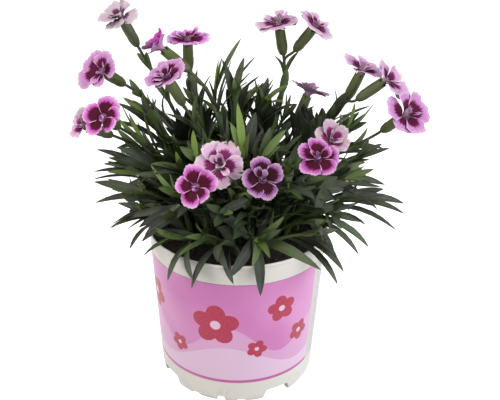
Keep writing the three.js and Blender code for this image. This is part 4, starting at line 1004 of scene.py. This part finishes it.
def filling(name, count, seed, stand, reach, heights, bearings):
    """A crowd of slim shoots with pairs of leaves. Feet stand at random over the soil, each
    tip lies further out the same way, and lower the further out it is."""
    rng = np.random.default_rng(seed)
    bearing = rng.uniform(*np.radians(bearings), count)
    out = np.sqrt(rng.uniform(0.02, 1, count))
    feet = polar(stand * out, bearing, SOIL_TOP - 2)
    tip_heights = heights[0] + (heights[1] - heights[0]) * (1 - out ** 1.7) * rng.uniform(0.55, 1, count)
    tips = polar(reach * out, bearing + rng.normal(0, 0.2, count), tip_heights)
    tubes, found = [], []
    for k in range(count):
        curve = shoot_curve(feet[k], tips[k], 0.6)
        tubes.append(tube(places_along(curve, 8), np.linspace(1.2, 0.7, 8), 6))
        shares = np.linspace(0.15, 1, FILLING_PAIRS)
        for pair, (share, place, growth) in enumerate(zip(shares, *bezier(curve, shares))):
            for half in range(2):
                turn = math.pi / 2 * pair + math.pi * half + rng.normal(0, 0.25) + 3 * out[k]
                aside = outwards(growth, turn)
                spread = math.radians(rng.uniform(46, 64) - 34 * share)
                length = rng.uniform(36, 50) - 20 * share ** 2
                point = place + length * (math.cos(spread) * growth + math.sin(spread) * aside)
                width = rng.uniform(4.6, 7) - 2 * share ** 2
                tone = rng.uniform(0, 0.14) + 0.5 * share ** 3 * rng.uniform(0, 1) ** 2
                found.append((place + ROOT_ASIDE * aside, point, growth, width, tone))
    roots, points, grows, widths, tones = columns(found)
    lowest = STEM_START - 0.35 * np.maximum(np.hypot(points[:, 0], points[:, 1]) - HANG_FROM, 0)
    points[:, 2] = np.maximum(points[:, 2], lowest)
    twist = rng.normal(0, 0.5, len(roots))
    made = piece(name, [
        (np.array(tubes), SHOOT_SPOT, 0.25, 0),
        leaves(roots, points, grows, widths, tones, SLIM_BLADE, twist=twist, keel=0.7),
    ], [leaf_green])
    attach(made, "root")


filling("filling_foliage_front", 30, 3, 28, 46, (138, 190), (180, 360))
filling("filling_foliage_back", 40, 4, 40, 60, (118, 192), (0, 180))

# ---- Flowers --------------------------------------------------------------------------------
# Five broad petals spread from narrow claws packed in the calyx, each laid over the next,
# with a finely toothed margin. They are soft and matte: dark maroon round the eye with a
# feathered border, a thin purple line, then pink to a pale edge. A few small folded petals
# stand up in the middle, as doubled pinks have.
PETALS = 5
PETAL_ROWS = np.array([0, 0.07, 0.14, 0.2, 0.27, 0.36, 0.46, 0.57, 0.68, 0.78, 0.87, 0.94, 0.98, 1])
PETAL_COLUMNS = 51
CLAW_SHARE = 0.36
CLAW_DEPTH = 5.6
LIFT_SPREAD = math.radians(9)
RUFFLE = 0.05  # how high the margin waves, as a share of the petal's length
FOLD_ROWS = np.array([0, 0.12, 0.25, 0.4, 0.55, 0.7, 0.82, 0.92, 1])
FOLD_COLUMNS = 17
# Blotch, the line round it, the outer part, the edge and the back; and the blotch's reach.
COLOURINGS = {
    "bright": (("440a22", "86206a", "b85fb0", "d2a9cb", "bf92ba"), 0.71),
    # The next two are copies of the bright and of the mauve colourings, darkened as painted shade for flowers
    # that sit in shadow low at the front of the tuft.
    "dark": (("40091e", "761a58", "a2529a", "bf95b8", "a97fa4"), 0.71),
    "mauve_in_painted_shade": (("2e0817", "4e173b", "8b588f", "b391af", "9a7698"), 0.72),
    "mauve": (("560e34", "8c2c70", "bb76bd", "e0bcdc", "c9a0c8"), 0.66),
    "lilac": (("5c1c44", "8c4678", "c096bc", "d8bcd2", "c9a8c4"), 0.56),
    "rosy": (("601845", "8a4478", "bc98b4", "d2c0cb", "c2aabb"), 0.58),
    "pale": (("6e2456", "98487f", "cfa8c6", "dccacf", "c6a8ba"), 0.6),
    "ashen": (("5c3050", "806078", "b4a0ae", "c2b9b9", "b4a5ae"), 0.5),
    "streaked": (("4a0d30", "86306e", "b27cae", "c7a2c2", "b08fae"), 0.64),
    "muted": (("6a2252", "844870", "b497aa", "bfafb3", "ae98a4"), 0.57),
    "deep": (("6a1250", "8e1f78", "ad3a9e", "bc66b0", "c08fba"), 0.6),
    "faded": (("652a5c", "84497c", "b284ac", "cdb0c8", "c09aba"), 0.5),
}


def petal_finish(name, colours, blotch_reach):
    """A petal's material, on its own layout of across and along: colours follow the distance
    along, with a border feathered by streaks that run lengthwise. The back, whose layout is
    moved aside by two, is plainer and paler."""
    blotch, ring, outer, edge, back = (linear(colour) for colour in colours)
    material, tree = new_finish(name)
    layout = add(tree, "SeparateXYZ", add(tree, "UVMap", uv_map="Layout")).outputs
    along = layout[1]
    under = add(tree, "GREATER_THAN", layout[0], 1.5)
    across = add(tree, "MULTIPLY_ADD", under, -2.0, layout[0])
    aside = add(tree, "ABSOLUTE", add(tree, "SUBTRACT", across, 0.5))
    wide = add(tree, "MULTIPLY", across, 21.0)
    long = add(tree, "MULTIPLY", along, 1.5)
    tone = add(tree, "Attribute", attribute_name="tone").outputs["Fac"]
    lengthwise = add(tree, "CombineXYZ", wide, long, tone)
    streaks = add(tree, "TexNoise", lengthwise, Scale=1.0, Detail=3, Roughness=0.65)
    ragged = add(tree, "MULTIPLY_ADD", streaks, 0.46, along)
    ragged = add(tree, "MULTIPLY_ADD", add(tree, "MULTIPLY", aside, aside), 0.8, ragged)
    outlying = add(tree, "MULTIPLY_ADD", streaks, 0.14, along)
    # Each layer covers those before it where its share is 1.
    colour = outer
    for layer, share in (
        (ring, add(tree, "MapRange", ragged, blotch_reach + 0.32, blotch_reach + 0.23)),
        (blotch, add(tree, "MapRange", ragged, blotch_reach + 0.24, blotch_reach + 0.18)),
        (edge, add(tree, "MapRange", outlying, 0.88, 1.05)),
        (edge, add(tree, "MapRange", aside, 0.43, 0.485, 0.0, 0.9)),
        (back, add(tree, "MapRange", along, 0.24, 0.14)),
        (back, add(tree, "MULTIPLY", under, 0.8)),
    ):
        colour = add(tree, "MixRGB", share, colour, layer)
    veins = add(tree, "Bump", Strength=0.3, Distance=0.0003, Height=streaks)
    shader = add(tree, "BsdfPrincipled", Base_Color=colour, Roughness=0.75, Specular_IOR_Level=0.12,
                 Normal=veins)
    add(tree, "OutputMaterial", shader)
    return material


def per_petal(*values):
    """Values for each petal, shaped to go with a petal's rows and columns."""
    return [np.array(value, float)[:, None, None] for value in values]


def two_sides(columns):
    """Places across a petal, from -1 to 1 on its upper side and back on its under side, and
    which of them are under it."""
    across = np.concatenate([np.linspace(-1, 1, columns), np.linspace(1, -1, columns)])
    return across[None, None], (np.arange(2 * columns) >= columns)[None, None]


def petal_grid(foot, corners, u, below, along):
    """Grids of petals that start at a foot, and their layout, the under side's moved aside."""
    layout = np.stack(np.broadcast_arrays(u[0] / 2 + 0.5 + 2 * below[0], along[0]), -1)
    foot = np.broadcast_to(foot, corners[:, :1].shape)
    return np.concatenate([foot, corners], axis=1), np.concatenate([layout[:1], layout])


def petals(centre, facing, turns, lifts, lengths, halves, roundness, tilt, seed):
    """Grids of broad petals. The middle line climbs inside the calyx, bends over in a Bezier
    curve and runs out along the petal's lift; the petal is swept from it through an angle to
    each side about the flower's axis. Its margin is rounded, with fine teeth. One side lies
    higher than the other, so that each petal covers the next, and ruffles grow towards the
    margin. The back follows at the petal's thickness, and the two meet at the edges."""
    turns, lifts, lengths, halves = per_petal(turns, lifts, lengths, halves)
    seeds = seed + np.arange(len(turns))[:, None, None] * 1.7
    u, below = two_sides(PETAL_COLUMNS)
    v = PETAL_ROWS[None, :, None]
    t = np.clip(v / CLAW_SHARE, 0, 1)
    limb = CLAW_SHARE * lengths
    out = (1 - t) ** 2 * 1.0 + 2 * t * (1 - t) * 1.5 + t ** 2 * limb * np.cos(lifts)
    up = -(1 - t) ** 2 * CLAW_DEPTH + 2 * t * (1 - t) * 1.5 * np.tan(lifts) + t ** 2 * limb * np.sin(lifts)
    beyond = np.clip(v - CLAW_SHARE, 0, 1) * lengths
    teeth = 0.5 + 0.5 * np.cos(u * 27 + 2.2 * np.sin(3 * u + seeds))
    waves = np.sin(3.1 * u + seeds) + 0.6 * np.sin(7 * u + 2 * seeds)
    margin = roundness * (0.1 * u ** 2 + 0.3 * u ** 4) + 0.035 * teeth + 0.025 * waves
    out, up = out + beyond * np.cos(lifts), up + beyond * np.sin(lifts)
    trim = 1 - margin * v ** 3
    out, up = out * trim, up * (1 + (trim - 1) * (up > 0))
    angle = u * halves
    ruffles = RUFFLE * v ** 3 * (np.sin(4.2 * u + 2.3 * seeds) + 0.5 * np.sin(11 * u + seeds))
    up = up + out * np.sin(angle) * tilt * np.clip(v / CLAW_SHARE - 0.4, 0, 1)
    up = up + lengths * (0.035 * np.sin(math.pi * v) * (1 - u ** 2) + ruffles)
    thick = 0.15 * (1 - u ** 6) * (1 - v ** 8)
    up = up + np.where(below, -thick, thick)
    corners = carried(polar(out, turns + angle, up), centre, facing)
    return petal_grid(centre - (CLAW_DEPTH + 0.4) * facing, corners, u, below, v)


def folded_petals(centre, facing, turns, leans, lengths, widths, folds, curls):
    """Grids of the small petals in the middle. Each is a blade on a narrow claw, broad and
    toothed at its end, leaning out from the axis, folded along its middle by an angle and
    curled over towards its end. The back follows at the petal's thickness."""
    turns, leans, lengths, widths, folds, curls = per_petal(turns, leans, lengths, widths, folds, curls)
    u, below = two_sides(FOLD_COLUMNS)
    v = FOLD_ROWS[None, :, None]
    teeth = 1 - v ** 3 * (0.22 * np.abs(u) ** 3 + 0.07 * (0.5 + 0.5 * np.cos(16 * u + 5 * turns)))
    half = widths / 2 * np.interp(v, (0, 0.2, 0.55, 0.85, 1), (0.2, 0.3, 0.85, 1, 0.8))
    lean = leans + curls * v ** 2
    out = 0.5 + lengths * v * teeth * np.sin(lean)
    up = -1.2 + lengths * v * teeth * np.cos(lean)
    away = outwards(facing, turns)
    normal = np.sin(lean)[..., None] * facing - np.cos(lean)[..., None] * away
    spread = (half * u * np.cos(folds))[..., None] * np.cross(facing, away)
    rise = half * np.abs(u) * np.sin(folds) + np.where(below, -0.12, 0.12) * (1 - u ** 6) * (1 - v ** 8)
    corners = centre + out[..., None] * away + up[..., None] * facing + spread + rise[..., None] * normal
    return petal_grid(corners[:, :1].mean(2, keepdims=True), corners, u, below, 0.35 + 0.65 * v)


# Flowers whose petals have grown longer to one side: the way they lean out, and by how much.
LONGER = {3: (1, -0.3, 0, 0.05), 8: (-1, -0.5, 0, 0.08), 11: (-0.3, 0, 1, 0.08)}
# Flowers turned round from the others, by radians.
TURNED = {3: 0.63, 8: 0.5}
# Flowers whose petals have grown their own ways: the place of each petal's tip, and how many
# degrees it spreads to each side.
PETAL_TIPS = {
    1: [(-87, 12, 243, 46), (-83, 26, 250, 44), (-74, 29, 252, 40), (-64, 14, 246, 42),
         (-79, 9, 239, 46)],
    2: [(-59, -5, 232, 50), (-56, 8, 233, 46), (-51, 10, 238, 48), (-47, -5, 239, 40),
         (-54, -8, 231, 50)],
    4: [(-97, -15, 216, 46), (-92, -9, 226, 44), (-82, -13, 231, 44), (-73, -25, 226, 46),
         (-84, -28, 214, 40)],
    5: [(-91, -35, 202, 52), (-74, -36, 210, 52), (-69, -42, 203, 34), (-73, -48, 195, 40),
         (-88, -45, 191, 46)],
    12: [(90, 7, 222, 40), (101, 6, 215, 46), (106, -4, 202, 46), (97, -12, 206, 44),
         (88, -6, 219, 40)],
    13: [(90, -21, 203, 50), (106, -8, 205, 46), (117, -8, 198, 50), (112, -26, 186, 50),
         (98, -30, 189, 44)],
    16: [(12, -61, 184, 42), (25, -64, 177, 44), (19, -73, 163, 40), (8, -72, 164, 36),
         (2, -68, 174, 42)],
    17: [(-17, -37, 183, 46), (-3, -37, 182, 48), (3, -46, 170, 48), (-11, -54, 160, 40),
         (-26, -45, 172, 44), (-12, -50, 181, 54), (-8, -51, 174, 60)],
    18: [(-26, -60, 178, 46), (-13, -66, 173, 44), (-18, -71, 161, 42), (-30, -70, 156, 46),
         (-36, -64, 168, 44)],
}
# How much longer those petals are than the way to their tips, for their rounded margins.
TIP_ALLOWANCE = 1.03
# Flowers that have opened to one side of their calyx: the way the petals face.
NODDING = {1: (-0.4, -0.42, 0.81), 12: (0.72, -0.42, 0.55)}
# Flowers with broader, squarer petals, which lie flatter.
FULL = (1, 2, 3, 4, 7, 8, 9, 10, 11, 12, 13)
# Half-double flowers: how many smaller petals stand inside the large ones.
INNER = {1: 2, 2: 3, 3: 5, 4: 2, 6: 3, 7: 4, 8: 4, 9: 3, 10: 3, 11: 3, 12: 2, 13: 2, 14: 3, 15: 2, 16: 1,
         17: 2}
# The largest folded petal in the middle of each flower, where it is more than 4 mm long.
FOLDED = {4: 5, 5: 5, 7: 7, 11: 6.5, 13: 8, 14: 5.5, 15: 6, 16: 6.5, 17: 8.5}
# Flowers whose largest folded petal stands at the top.
UPRIGHT = (13, 16, 17)

finishes = {name: petal_finish(name + "_pink_petal", *colouring) for name, colouring in COLOURINGS.items()}
flowers = [flower for _, *heads in FLOWERING_STEMS for flower in heads]
for key, (centre, facing, width, rise, colouring) in enumerate(flowers):
    number = key + 1
    centre, facing = np.array(centre, float), unit(np.array(NODDING.get(number, facing), float))
    rng = np.random.default_rng(100 + key)
    rise = math.radians(rise)
    full = number in FULL
    lift_draws, length_draws = (
        np.array([chance(key, petal, kind) - 0.5 for petal in range(PETALS)]) for kind in (2, 3))
    turns = 2 * math.pi * (chance(key, 0, 1) + np.arange(PETALS) / PETALS)
    turns = turns + rng.normal(0, 0.06, PETALS) + TURNED.get(number, 0)
    lifts = rise + (LIFT_SPREAD * lift_draws + rng.normal(0, 0.09, PETALS)) * (0.3 if full else 1)
    lengths = width / 2 * (1.03 + 0.1 * length_draws)
    if number in LONGER:
        *lean, amount = LONGER[number]
        lengths = lengths * (1 + amount * (outwards(facing, turns) @ unit(np.array(lean, float))))
    halves = math.pi / PETALS + np.radians(9 + 9 * full) + rng.normal(0, 0.05, PETALS)
    if number in PETAL_TIPS:
        tips = np.array(PETAL_TIPS[number], float)
        side, across = frame_across(facing)
        reach = tips[:, :3] - centre
        distance = np.linalg.norm(reach, axis=1)
        turns, lifts = np.arctan2(reach @ across, reach @ side), np.arcsin(reach @ facing / distance)
        lengths, halves = distance * TIP_ALLOWANCE, np.radians(tips[:, 3])
    inner = INNER.get(number, 0)
    inner_turns = turns[0] + math.pi / PETALS + np.arange(inner) * 2.5 + rng.normal(0, 0.2, inner)
    turns = np.concatenate([turns, inner_turns])
    lifts = np.concatenate([lifts, rise + rng.uniform(0.25, 0.75, inner)])
    lengths = np.concatenate([lengths, width / 2 * rng.uniform(0.62, 0.82, inner)])
    halves = np.concatenate([halves, rng.uniform(0.42, 0.6, inner)])
    limb, layout = petals(centre, facing, turns, lifts, lengths, halves, 1 - 0.5 * full,
                          0.2 - 0.13 * full, key)
    tones = np.arange(len(turns))[:, None, None] * 3.1 + key
    # The folded petals in the middle: a large one and two small ones, mostly pale.
    fold_turns = rng.uniform(0, 6.3) * (number not in UPRIGHT) + np.array([0, 2.3, 4.1])
    fold_turns = fold_turns + rng.normal(0, 0.3, 3)
    largest = FOLDED.get(number, 4.0)
    fold_lengths = np.array([largest, max(3.6, 0.6 * largest), max(3.0, 0.5 * largest)])
    folded, fold_layout = folded_petals(
        centre, facing, fold_turns, [0.75, 0.5, 0.6], fold_lengths, fold_lengths * rng.uniform(0.7, 1.0, 3),
        rng.uniform(0.4, 0.9, 3), rng.uniform(-0.6, 0.3, 3))
    made = piece(f"flower_{key + 1:02d}_petals", [
        (limb, layout, tones, 0), (folded, fold_layout * (1, 0.3) + (0, 0.66), key, 0),
    ], [finishes[colouring]], crease=60)
    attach(made, "root")
    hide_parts(f"flower_{key + 1:02d}")
